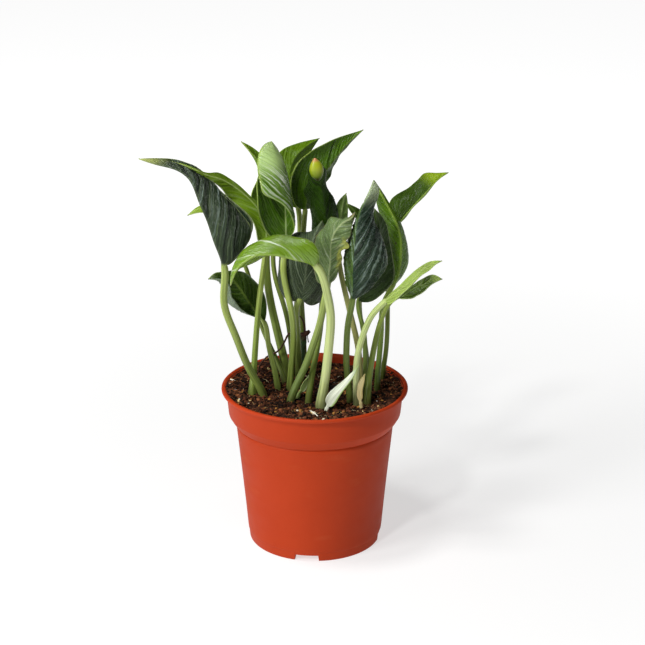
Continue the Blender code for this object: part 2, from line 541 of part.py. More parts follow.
def build_pot():
    floor_z = BASE_RISE + BASE_THICK
    outer = [
        (0.0, 0.0),
        (PAD_RADIUS, 0.0),
        (PAD_RADIUS + 2.5, BASE_RISE),
        (FOOT_RADIUS - FOOT_RING - 1.8, BASE_RISE),
        (FOOT_RADIUS - FOOT_RING, 0.0),
        (FOOT_RADIUS - 0.6, 0.0),
        (FOOT_RADIUS, 0.8),
        (FOOT_RADIUS + 0.5, STEP_Z),
        (FOOT_RADIUS + 0.8, STEP_Z + 0.3),
        (BODY_RADIUS, BODY_TOP_Z),
        (BODY_RADIUS + LEDGE, BODY_TOP_Z + 0.2),
        (COLLAR_FOOT_RADIUS, COLLAR_FOOT_Z),
        (COLLAR_RADIUS, POT_HEIGHT - LIP_THICK - 0.2),
        (LIP_RADIUS - 0.5, POT_HEIGHT - LIP_THICK),
        (LIP_RADIUS, POT_HEIGHT - LIP_THICK + 0.5),
        (LIP_RADIUS, POT_HEIGHT - 0.5),
        (LIP_RADIUS - 0.5, POT_HEIGHT),
        (LIP_RADIUS - LIP_WIDTH, POT_HEIGHT),
    ]
    inner_heights = (LIP_BEVEL_Z, COLLAR_FOOT_Z + 0.8, BODY_TOP_Z + 0.4, floor_z + 0.8)
    inner = [(inside_radius(height), height) for height in inner_heights]
    inner += [
        (inside_radius(floor_z) - 0.8, floor_z),
        (PAD_RADIUS + 3.2, floor_z),
        (PAD_RADIUS + 0.7, BASE_THICK),
        (0.0, BASE_THICK),
    ]
    pot = add_object("pot", turned(outer + inner, POT_SIDES), *COLOURS["pot"])
    boolean(pot, add_cutter("pot_openings", pot_openings()))


def pot_openings():
    """Four notches through the foot ring, and round drain holes through the base plate."""
    bm = bmesh.new()
    for i in range(NOTCHES):
        turn = NOTCH_TURN + i * math.tau / NOTCHES
        notch = bmesh.ops.create_cube(bm, size=1.0)["verts"]
        bmesh.ops.scale(bm, vec=(12.0, NOTCH_WIDTH, 2.0 * NOTCH_HEIGHT), verts=notch)
        bmesh.ops.translate(bm, vec=(FOOT_RADIUS, 0.0, 0.0), verts=notch)
        rotate_z(bm, notch, turn)
    for i in range(DRAINS):
        drain = bmesh.ops.create_cone(bm, cap_ends=True, segments=12, radius1=DRAIN_RADIUS,
                                      radius2=DRAIN_RADIUS, depth=6.0)["verts"]
        bmesh.ops.translate(bm, vec=(DRAIN_CIRCLE, 0.0, BASE_RISE + BASE_THICK / 2.0), verts=drain)
        rotate_z(bm, drain, (i + 0.5) * math.tau / DRAINS)
    return bm


def rotate_z(bm, verts, turn):
    bmesh.ops.rotate(bm, cent=(0, 0, 0), matrix=Matrix.Rotation(turn, 3, "Z"), verts=verts)


def soil_height(x, y):
    """The soil's top: tilted to the front, mounded off centre, with low lumps."""
    mound = math.exp(-((x - MOUND_PLACE[0]) ** 2 + (y - MOUND_PLACE[1]) ** 2)
                     / (2.0 * MOUND_SPREAD ** 2))
    lumps = math.sin(0.37 * x + 1.3) * math.sin(0.41 * y) + math.sin(0.19 * x - 0.23 * y)
    edge = inside_radius(SOIL_EDGE_Z)
    sides = SIDE_RISE * float(ease((abs(x) - SIDE_START) / (edge - SIDE_START)))
    return SOIL_EDGE_Z - SOIL_TILT * y / edge + MOUND_HEIGHT * mound + LUMP_HEIGHT * lumps + sides


def build_soil():
    floor_z = BASE_RISE + BASE_THICK + GAP
    edge = inside_radius(SOIL_EDGE_Z) - GAP
    profile = [
        (0.0, BASE_THICK + GAP),
        (PAD_RADIUS + 0.3, BASE_THICK + GAP),
        (PAD_RADIUS + 3.0, floor_z),
        (inside_radius(floor_z) - 0.8 - GAP, floor_z),
        (inside_radius(floor_z + 0.6) - GAP, floor_z + 0.6),
        (inside_radius(BODY_TOP_Z + 0.4) - GAP, BODY_TOP_Z + 0.3),
        (inside_radius(COLLAR_FOOT_Z + 0.8) - GAP, COLLAR_FOOT_Z + 0.9),
        (edge, SOIL_EDGE_Z),
    ]
    top_radii = [46.0, 36.0, 26.0, 16.0, 7.0, 0.0]
    profile += [(radius, SOIL_EDGE_Z) for radius in top_radii]
    bm = turned(profile, POT_SIDES)
    for vert in bm.verts:
        if vert.co.z > SOIL_EDGE_Z - 0.01:
            vert.co.z = soil_height(vert.co.x, vert.co.y)
    soil = add_object("soil", bm, *COLOURS["soil"])
    boolean(soil, add_cutter("stem_holes", stem_holes()))


def stem_holes():
    """A plain hole for every stalk, sheath and root, a little wider than what stands in it."""
    prisms = []
    for plans, depth in ((LEAVES, STEM_DEPTH), (SHEATHS, SHEATH_DEPTH)):
        for plan in plans.values():
            down = foot_heading(plan["stem"])
            ring = leaf_sections(plan, (STEM_ROWS, BLADE_ROWS), STEM_SIDES_HALF // 2, depth)[1]
            centre = ring.mean(axis=0)
            wide = centre + (ring - centre) * (1.0 + HOLE_CLEARANCE / plan["radius"][0])
            prisms.append([wide - down * (depth + HOLE_CLEARANCE), wide + down * 8.0])
    bm = bmesh.new()
    pieces = [skin(prism) for prism in prisms]
    pieces.append(hole_round(STUB, STUB_RADIUS, 10))
    pieces.append(hole_round(AIR_ROOT[::-1], ROOT_RADIUS, ROOT_SIDES))
    for piece in pieces:
        bmesh.ops.recalc_face_normals(piece, faces=piece.faces)
        scrap = bpy.data.meshes.new("scrap")
        piece.to_mesh(scrap)
        piece.free()
        bm.from_mesh(scrap)
        bpy.data.meshes.remove(scrap)
    return bm


def hole_round(points, radius, sides):
    """A hole round the first stretch of a rod whose route starts in the soil."""
    line = Route(points)
    stretch = line.at(np.linspace(0.0, 20.0, 5))
    stretch[0] -= line.heading(0.0)[0] * HOLE_CLEARANCE
    return tube(stretch, radius + HOLE_CLEARANCE, sides, 4, (1.0, 1.0))


# Old stem

def build_old_stem():
    stem = add_object("old_stem", tube(STUB, STUB_RADIUS, 10, 12, STUB_WIDTHS), *COLOURS["old_stem"])
    boolean(stem, add_cutter("air_root", tube(AIR_ROOT, ROOT_RADIUS, ROOT_SIDES, 20)), "UNION")
    boolean(stem, add_cutter("curled_root", tube(CURLED_ROOT, ROOT_RADIUS, ROOT_SIDES, 6)), "UNION")


def build_plant():
    for name, plan in LEAVES.items():
        add_object(name, leaf_mesh(plan), plan["colour"], LEAF_ROUGHNESS)
    for name, plan in SHEATHS.items():
        add_object(name, sheath_mesh(plan), plan["colour"], 0.7)
    build_old_stem()


def main():
    clear_scene()
    build_pot()
    build_soil()
    build_plant()


main()
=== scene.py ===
# %% [markdown]
# # A potted pothos, piece by piece
# This lesson dresses a plain solid model of a young pothos in a nursery pot. The solid model
# gives every piece its size and place. Here each leaf gets a finer surface with puckers
# between its veins, the pot gets round walls, and the soil gets crumbs and fibres.
# The model is loaded first, and each piece's place is moved into its own mesh.

# %% Load the solid model
import math

import bmesh
import bpy
import numpy as np
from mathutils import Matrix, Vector


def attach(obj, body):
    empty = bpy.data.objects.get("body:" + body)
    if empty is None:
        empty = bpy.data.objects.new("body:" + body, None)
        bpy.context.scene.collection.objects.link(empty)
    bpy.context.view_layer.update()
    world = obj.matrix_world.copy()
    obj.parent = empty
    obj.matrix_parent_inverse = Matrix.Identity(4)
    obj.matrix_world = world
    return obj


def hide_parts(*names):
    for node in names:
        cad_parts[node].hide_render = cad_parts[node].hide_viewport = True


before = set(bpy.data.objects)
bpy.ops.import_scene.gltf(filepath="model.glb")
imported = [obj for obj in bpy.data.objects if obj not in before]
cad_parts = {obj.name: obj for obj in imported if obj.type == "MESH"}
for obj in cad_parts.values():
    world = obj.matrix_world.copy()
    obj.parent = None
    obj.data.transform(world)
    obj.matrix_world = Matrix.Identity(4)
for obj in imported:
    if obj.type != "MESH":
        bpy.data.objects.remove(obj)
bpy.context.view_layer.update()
MM = 0.001

# %% [markdown]
# ## Camera, floor and light
# The view is the one a shop takes of a plant: the lens a metre off, half a metre above the
# table and tipped down by 19 degrees. The floor is a plain pale sheet. The light is
# a large soft lamp at the left and in front, a smaller one overhead and one beside the lens for
# the white glints on the leaves, and a dim room all round, because a plant in a lightbox has
# soft shadows.

# %% Camera
CAMERA_PLACE = (0.005, -1.019, 0.507)
CAMERA_TIP = math.radians(19.45)
FOCAL_PIXELS, FRAME_PIXELS = 1700.0, 645.0

lens = bpy.data.cameras.new("shop_lens")
lens.sensor_width = 36.0
lens.lens = 36.0 * FOCAL_PIXELS / FRAME_PIXELS
camera = bpy.data.objects.new("camera", lens)
camera.location = CAMERA_PLACE
camera.rotation_euler = (math.pi / 2.0 - CAMERA_TIP, 0.0, 0.0)
bpy.context.scene.collection.objects.link(camera)
bpy.context.scene.camera = camera
print("camera lens", round(lens.lens, 1), "mm")


# %% Colours and nodes
def linear(colour):
    """An sRGB hex colour in linear light: straight near black, a power of 2.4 above."""
    channels = np.array([int(colour[i:i + 2], 16) / 255.0 for i in (0, 2, 4)])
    low, high = channels / 12.92, ((channels + 0.055) / 1.055) ** 2.4
    return (*np.where(channels <= 0.04045, low, high).tolist(), 1.0)


# Short names: the node's kind, its settings, the inputs its values go to, and its output
SUMS = ("multiply", "multiply_add", "subtract", "divide", "absolute", "greater_than", "pingpong",
        "power", "maximum")
SHORT = {"mix": ("Mix", {"data_type": "RGBA"}, (0, 6, 7), 2),
         "step": ("MapRange", {"interpolation_type": "SMOOTHSTEP"}, range(5), 0),
         **{name: ("Math", {"operation": name.upper()}, range(3), 0) for name in SUMS}}


def give(node, inputs):
    """Set a node's inputs by name or number, or link them where the value is an output."""
    for key, value in inputs.items():
        if isinstance(value, bpy.types.NodeSocket):
            node.id_data.links.new(value, node.inputs[key])
        else:
            node.inputs[key].default_value = value


def add(tree, kind, inputs=(), out=0, **settings):
    """Add one node with its settings and inputs, and return an output, or the node for None.

    With a short name the inputs are values in order: "mix" takes a factor and two colours, and
    "step" a value, where it starts and ends to rise, and what it gives before and after."""
    if kind in SHORT:
        kind, settings, places, out = SHORT[kind]
        inputs = dict(zip(places, inputs))
    made = tree.nodes.new("ShaderNode" + kind)
    for name, value in settings.items():
        setattr(made, name, value)
    give(made, dict(inputs))
    return made if out is None else made.outputs[out]


def new_material(name, roughness, ior=1.45):
    """A material with its tree and its Principled shader."""
    made = bpy.data.materials.new(name)
    made.use_nodes = True
    shader = made.node_tree.nodes["Principled BSDF"]
    give(shader, {"Roughness": roughness, "IOR": ior})
    return made, made.node_tree, shader


def new_object(name, mesh, replaced=None):
    """Put a mesh in the scene as a piece that rides on the plant's only body."""
    made = bpy.data.objects.new(name, mesh)
    bpy.context.scene.collection.objects.link(made)
    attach(made, "root")
    if replaced:
        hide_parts(replaced)
    return made


# %% Floor and lamps
def soft_lamp(name, place, aim, size, watts, colour="ffffff"):
    """A round lamp, its width in metres, that faces the point it aims at."""
    light = bpy.data.lights.new(name, "AREA")
    light.shape = "DISK"
    light.size = size
    light.energy = watts
    light.color = linear(colour)[:3]
    lamp = bpy.data.objects.new(name, light)
    lamp.location = place
    lamp.rotation_euler = (Vector(aim) - Vector(place)).to_track_quat("-Z", "Y").to_euler()
    bpy.context.scene.collection.objects.link(lamp)


FLOOR_SIZE = 6.0
corners = np.array([(-1, -1, 0), (1, -1, 0), (1, 1, 0), (-1, 1, 0)]) * FLOOR_SIZE
floor_mesh = bpy.data.meshes.new("floor")
floor_mesh.from_pydata(corners.tolist(), [], [(0, 1, 2, 3)])
# Matte white paper: even and dull, so that only the plant shines
paper, paper_tree, paper_shader = new_material("matte white paper", 0.9)
grain = add(paper_tree, "TexNoise", {"Scale": 3.0, "Detail": 2.0})
tint = add(paper_tree, "mix", (grain, linear("a8a8a7"), linear("b0b0b0")))
# The paper far from the plant is lit through from behind, so that it stays white to the top
# of the view
there = add(paper_tree, "TexCoord", out="Object")
away = add(paper_tree, "VectorMath", {0: there}, "Value", operation="LENGTH")
lit_through = add(paper_tree, "step", (away, 0.1, 1.0, 0.62, 0.9))
give(paper_shader, {"Base Color": tint, "Specular IOR Level": 0.0,
                    "Emission Strength": lit_through,
                    "Emission Color": linear("ffffff")})
floor_mesh.materials.append(paper)
floor = bpy.data.objects.new("floor", floor_mesh)
bpy.context.scene.collection.objects.link(floor)

soft_lamp("window_left", (-1.55, -1.1, 0.85), (0.0, 0.0, 0.14), 0.7, 24.0)
soft_lamp("front_small", (-0.5, -1.0, 1.25), (0.0, 0.0, 0.18), 0.16, 9.0)
soft_lamp("overhead", (-0.4, -0.2, 1.6), (0.0, 0.0, 0.15), 0.34, 11.5)
room = bpy.data.worlds.new("dim_room")
room.use_nodes = True
give(room.node_tree.nodes["Background"], {"Color": linear("ffffff"), "Strength": 0.06})
bpy.context.scene.world = room
bpy.context.scene.view_settings.view_transform = "Standard"
print("floor, three lamps and a room")

# %% [markdown]
# ## Skins over grids
# Nearly all of a plant is tubes that flatten into sheets, so one way of making a mesh is
# enough: a grid of points, ring after ring along a path, joined into a closed skin with
# a point in the middle of each end. Fields, such as the distance from a leaf's rib, are worked
# out on the same grid and kept on the mesh, and the materials read them.


# %% Make a mesh from a grid
def unit(vectors):
    """Each vector over its own length."""
    return vectors / np.maximum(np.linalg.norm(vectors, axis=-1, keepdims=True), 1e-9)


def make_mesh(name, points, quads, triangles, fields=None, plane=None, smooth=True):
    """A mesh from arrays of points in millimetres, quads and triangles, turned to face outwards.

    The sum of the faces' signed volumes, a sixth of a . (b x c) over all triangles, is below
    zero if they face inwards, and then every face is reversed."""
    split = np.concatenate([quads[:, [0, 1, 2]], quads[:, [0, 2, 3]], triangles])
    a, b, c = (points[split[:, i]] for i in range(3))
    if np.einsum("ij,ij->i", a, np.cross(b, c)).sum() < 0.0:
        quads, triangles = quads[:, ::-1], triangles[:, ::-1]
    mesh = bpy.data.meshes.new(name)
    mesh.vertices.add(len(points))
    mesh.vertices.foreach_set("co", (points * MM).astype(np.float32).ravel())
    corners = np.concatenate([quads.ravel(), triangles.ravel()]).astype(np.int32)
    starts = np.concatenate([np.arange(len(quads)) * 4,
                             len(quads) * 4 + np.arange(len(triangles)) * 3]).astype(np.int32)
    mesh.loops.add(len(corners))
    mesh.loops.foreach_set("vertex_index", corners)
    mesh.polygons.add(len(starts))
    mesh.polygons.foreach_set("loop_start", starts)
    mesh.update(calc_edges=True)
    for field, values in (fields or {}).items():
        made = mesh.attributes.new(field, "FLOAT", "POINT")
        made.data.foreach_set("value", np.asarray(values, np.float32).ravel())
    if plane is not None:
        layer = mesh.uv_layers.new(name="leaf_plane")
        layer.data.foreach_set("uv", (plane[corners] * MM).astype(np.float32).ravel())
    mesh.validate()
    if smooth:
        mesh.shade_smooth()
    return mesh


def ring_quads(index):
    """Quads from each ring of points to the next: two on the lower, two on the upper."""
    low, high = index[:-1], index[1:]
    return np.stack([low, np.roll(low, -1, 1), np.roll(high, -1, 1), high], -1).reshape(-1, 4)


def wrap(name, grid, fields=None, plane=None):
    """Close a grid of rings into a skin. Each ring joins the next, and round to its own start."""
    rings, around = grid.shape[:2]
    index = np.arange(rings * around).reshape(rings, around)
    quads = ring_quads(index)
    points = grid.reshape(-1, 3)
    fields = {key: np.asarray(value).reshape(-1) for key, value in (fields or {}).items()}
    plane = None if plane is None else plane.reshape(-1, 2)
    count = len(points)
    points = np.vstack([points, grid[0].mean(0), grid[-1].mean(0)])
    first, last = index[0], index[-1]
    triangles = np.vstack([
        np.stack([np.roll(first, -1), first, np.full(around, count)], 1),
        np.stack([last, np.roll(last, -1), np.full(around, count + 1)], 1)])
    for key, value in fields.items():
        ends_of = (value[first].mean(), value[last].mean())
        fields[key] = np.append(value, ends_of)
    if plane is not None:
        plane = np.vstack([plane, plane[first].mean(0), plane[last].mean(0)])
    return make_mesh(name, points, quads, triangles, fields, plane)


# %% [markdown]
# ## Smooth routes
# A stalk, a rib and a leaf's margin are all routes through a few points. A cubic through them
# with shared slopes bends as evenly as a thin rod would. A polygon would kink, and
# a Bezier curve would need handles set by hand at each point.


# %% Routes through points
class Route:
    """Cubic pieces through points, by length of chord, with the slopes found from one system.

    Each inner slope balances the bends before and after it, and each end has none."""

    def __init__(self, points, start=None):
        """Slopes from one system; a start, where given, is the slope at the first point."""
        self.points = np.asarray(points, float)
        steps = np.diff(self.points, axis=0)
        self.chords = np.linalg.norm(steps, axis=1)
        self.stops = np.concatenate([[0.0], np.cumsum(self.chords)])
        self.length = self.stops[-1]
        steps = steps / self.chords[:, None]
        before, after = 1.0 / self.chords[:-1], 1.0 / self.chords[1:]
        matrix = (np.diag(np.concatenate([[1.0], 2.0 * (before + after), [2.0]]))
                  + np.diag(np.concatenate([before, [1.0]]), -1)
                  + np.diag(np.concatenate([[0.0], after]), 1))
        inner = 3.0 * (steps[:-1] * before[:, None] + steps[1:] * after[:, None])
        if start is None:
            matrix[0, :2] = 2.0, 1.0
            start = 3.0 * steps[0]
        self.slopes = np.linalg.solve(matrix, np.vstack([start, inner, 3.0 * steps[-1]]))

    def at(self, place):
        """Point = the two ends and the two slopes of its piece, each times a cubic in t."""
        place = np.clip(np.atleast_1d(place), 0.0, self.length)
        piece = np.clip(np.searchsorted(self.stops, place, side="right") - 1, 0,
                        len(self.chords) - 1)
        chord = self.chords[piece][:, None]
        t = (place - self.stops[piece])[:, None] / chord
        leave, arrive = self.slopes[piece] * chord, self.slopes[piece + 1] * chord
        return ((2 * t**3 - 3 * t**2 + 1) * self.points[piece] + (t**3 - 2 * t**2 + t) * leave
                + (3 * t**2 - 2 * t**3) * self.points[piece + 1] + (t**3 - t**2) * arrive)

    def heading(self, place):
        """Direction between two points a thousandth of the length before and after."""
        reach = 1e-3 * self.length
        place = np.clip(place, reach, self.length - reach)
        return unit(self.at(place + reach) - self.at(place - reach))


# %% [markdown]
# ## The leaf's surface
# A pothos leaf is a sheet hung on a rib, with side veins that leave the rib at a slant. Young
# leaves that dried out curl along the rib and pucker between the veins. Each half of the blade
# is drawn from the rib to its margin along a bowed chord. Puckers, waves at the margin
# and a slow unevenness are then added along the normal. Thin paper-like leaves made with
# a Solidify modifier would have square margins and stalks that don't flow into them,
# so both faces and the stalk are worked out together as rings of one skin.

# %% Leaf rings
THICK = 0.55                # of a fresh blade, in millimetres
TIP_RADIUS = 0.35
FOOT_REACH, FOOT_SWELL = 9.0, 0.2
RIB_SHARE = 0.6
BLADE_SHARE_OF_RADIUS = 2.5
# Height and spacing of the puckers, lean of the side veins, waves of the left and right margin
PLAIN = dict(pucker=0.3, spacing=5.2, slant=1.2, wave=(0.4, 0.4), waves=5.0, uneven=0.5, seed=0.0)


def ease(x):
    """x squared times (3 - 2 x), held to 0 and 1 outside."""
    x = np.clip(x, 0.0, 1.0)
    return x * x * (3.0 - 2.0 * x)


def foot_heading(stem):
    """A stalk stands steeper in the soil than the stretch above it."""
    rise = unit(np.subtract(stem[1], stem[0]).astype(float))
    return unit(rise * (0.5, 0.5, 1.0))


def by_run(values, along):
    """Values spaced evenly from 0 to 1, read at the places along, or one value for all."""
    values = np.atleast_1d(values)
    return np.interp(along, np.linspace(0.0, 1.0, len(values)), values)


def leaf_relief(look, t, spot, from_rib, from_base):
    """Height off the smooth blade in millimetres: pucker + wave + slow unevenness.

    A pucker is |sin(pi * phase)|, where the phase counts side veins, slanted and drifting. A wave
    is a sine along the margin times out cubed. Each fades at the rib, the base and the tip. The
    spot runs from -1 at the left margin to 1 at the right one."""
    seed, out, right = look["seed"], np.abs(spot), spot > 0.0
    side = np.where(right, 1.0, 0.0)
    drift = (0.30 * np.sin(0.23 * from_base + 2.6 * spot + seed)
             + 0.22 * np.sin(0.61 * from_base - 4.1 * spot + 2.3 * seed))
    phase = from_base - look["slant"] * from_rib - 0.012 * from_rib**2
    phase = phase / look["spacing"] + 0.5 * side + drift
    weight = 0.3 + 0.7 * np.sin(0.19 * from_base + 3.1 * spot + 1.7 * seed) ** 2
    puff = weight * (np.abs(np.sin(math.pi * phase)) ** 0.8 - 0.6)
    puff += 0.3 * (1.0 - weight) * np.sin(math.tau * 1.7 * phase + seed)
    field = ease(4.0 * out) * ease(6.0 * (1.0 - out) + 0.25)
    field = field * ease(5.0 * t) * ease(6.0 * (1.0 - t))
    slow = (np.sin(0.17 * from_base + 2.1 * spot + seed)
            + np.sin(0.29 * from_base - 3.3 * spot + 2.0 * seed))
    wavy = np.sin(math.tau * look["waves"] * t + 2.4 * side + seed)
    wavy = wavy * (0.65 + 0.35 * np.sin(9.0 * t + 2.0 * seed))
    wavy = wavy * np.where(right, look["wave"][1], look["wave"][0])
    puckers = look["pucker"] * puff * field
    waves = wavy * out**3 * ease(4.0 * t) * ease(5.0 * (1.0 - t))
    uneven = look["uneven"] * slow * 0.35 * ease(3.0 * out) * ease(5.0 * t) * ease(5.0 * (1.0 - t))
    return puckers + waves + uneven


def leaf_rings(plan, rows=(30, 84), half=17, depth=4.0):
    """Grid of rings for one leaf and the fields on it.

    Point = rib + out * chord + bow * 4 out (1 - out) * width * normal + pucker + wave, where out
    runs from 0 at the rib to 1 at the margin. The stalk's sections are circles, and where the
    blade is narrow the two are mixed by an eased share of its width."""
    look = {**PLAIN, **plan}
    stem_rows, blade_rows = rows
    down = foot_heading(plan["stem"])
    line = Route(plan["stem"] + plan["rib"], start=down)
    base = line.stops[len(plan["stem"]) - 1]
    blade = line.length - base
    first, last = [plan["stem"][-1]], [plan["rib"][-1]]
    margins = [Route(first + plan[side] + last) for side in ("left", "right")]
    along = np.linspace(0.0, 1.0, blade_rows + 1)[1:] ** 1.04
    stem_places = np.linspace(0.0, base, stem_rows + 1)
    middles = line.at(np.concatenate([stem_places, base + blade * along]))
    headings = line.heading(np.concatenate([stem_places, base + blade * along]))

    def chords(share):
        """From the rib to both margins, at the same share of their lengths."""
        ribs = line.at(base + blade * share)
        return [margin.at(margin.length * share) - ribs for margin in margins]

    reach, spread = chords(along), chords(np.clip(along, 0.1, 0.9))
    blade_headings = headings[stem_rows + 1:]
    normals = [unit(np.cross(blade_headings, spread[0])),
               unit(np.cross(spread[1], blade_headings))]
    upward = unit(normals[0] + normals[1])
    faces = np.vstack([np.zeros((stem_rows + 1, 3)), upward])
    for i in range(stem_rows, -1, -1):
        faces[i] = unit(faces[i + 1] - headings[i] * (faces[i + 1] @ headings[i]))
    faces = unit(faces - headings * np.sum(faces * headings, axis=1, keepdims=True))
    across = np.cross(headings, faces)
    radii = np.concatenate([np.interp(stem_places, [0.0, base], plan["radius"]),
                            plan["radius"][1] * (1.0 - along) + TIP_RADIUS * along])
    swell = FOOT_SWELL + plan.get("foot", 0.0)
    radii[:stem_rows + 1] += swell * np.exp(-(stem_places / FOOT_REACH) ** 2)

    count = 2 * half + 1
    angles = math.pi - (np.arange(count) + 0.5) * math.pi / count
    turn = np.concatenate([angles, -angles[::-1]])
    circle = (np.cos(turn)[None, :, None] * across[:, None]
              + np.sin(turn)[None, :, None] * faces[:, None])
    groove = 1.0 - 0.13 * np.exp(-((turn - math.pi / 2.0) / 0.42) ** 2)
    round_rings = middles[:, None] + radii[:, None, None] * groove[None, :, None] * circle

    share = np.linspace(-1.0, 1.0, count)
    out = np.abs(share)[None, :, None]
    right = (share > 0.0)[None, :, None]
    chord = np.where(right, reach[1][:, None], reach[0][:, None])
    lean = np.where(right, spread[1][:, None], spread[0][:, None])
    normal = np.where(right, normals[1][:, None], normals[0][:, None])
    width = np.linalg.norm(chord, axis=2, keepdims=True)
    lean_width = np.linalg.norm(lean, axis=2, keepdims=True)
    bow = np.where(right[..., 0], by_run(plan["bow"][1], along)[:, None],
                   by_run(plan["bow"][0], along)[:, None])[..., None]
    middle = (middles[stem_rows + 1:, None] + out * chord
              + bow * 4.0 * out * (1.0 - out) * width * normal)
    run = lean + bow * 4.0 * (1.0 - 2.0 * out) * lean_width * normal
    off = np.where(right, np.cross(run, blade_headings[:, None]),
                   np.cross(blade_headings[:, None], run))
    off = np.where(out == 0.0, upward[:, None], unit(off))

    t = along[:, None, None]
    from_rib, from_base = out * width, blade * t
    lift = leaf_relief(look, t, share[None, :, None], from_rib, from_base)
    middle = middle + off * lift * ease(width / 13.0)

    blade_radii = radii[stem_rows + 1:, None, None]
    ridge = RIB_SHARE * blade_radii * np.exp(-(from_rib / blade_radii) ** 2)
    upper, under = middle + off * THICK / 2.0, middle - off * (THICK / 2.0 + ridge)
    mix = ease(width / (BLADE_SHARE_OF_RADIUS * blade_radii))
    flat = np.concatenate([upper, under[:, ::-1]], axis=1)
    share_of = np.concatenate([mix, mix[:, ::-1]], axis=1)
    blade_rings = share_of * flat + (1.0 - share_of) * round_rings[stem_rows + 1:]
    grid = np.concatenate([(round_rings[0] - down * depth)[None], round_rings[:stem_rows + 1],
                           blade_rings])

    def field_of(stem_value, blade_value):
        """A value on the stalk's rings and one on the blade, alike on both faces."""
        blade_value = np.broadcast_to(blade_value, (blade_rows, count, 1))[..., 0]
        doubled = np.concatenate([blade_value, blade_value[:, ::-1]], axis=1)
        stem_value = np.broadcast_to(stem_value, (stem_rows + 2, 2 * count))
        return np.concatenate([stem_value, doubled])

    stem_run = np.concatenate([[-base - depth], stem_places - base])[:, None]
    fields = {
        "along": field_of(stem_run / base, t),
        "out": field_of(0.0, out),
        "blade": field_of(0.0, mix),
        "under": np.broadcast_to(np.repeat([0.0, 1.0], count)[None], grid.shape[:2]),
        "turn": np.broadcast_to(turn[None], grid.shape[:2]) / math.tau,
    }
    signed = share[None, :, None] * width
    plane = np.stack([field_of(0.0, signed), field_of(stem_run, from_base)], axis=-1)
    return grid, fields, plane

# %% [markdown]
# ## Twenty-one leaves
# Each leaf is four routes in millimetres: its stalk from the soil to the blade, its rib from
# there to the tip, and the two margins. Seen from the upper face with the tip up, left is left.
# `radius` is the stalk's at the soil and at the blade, and `foot` is how much more it swells at
# the soil. `bow` is how far the left and right half stand off their chord, as a share of it,
# and below zero they bulge on the under side. The colours are the upper and under face, the
# veins, the stalk from foot to blade, the tip and the margin. These are the solid model's own
# routes, so each fine leaf follows its solid.

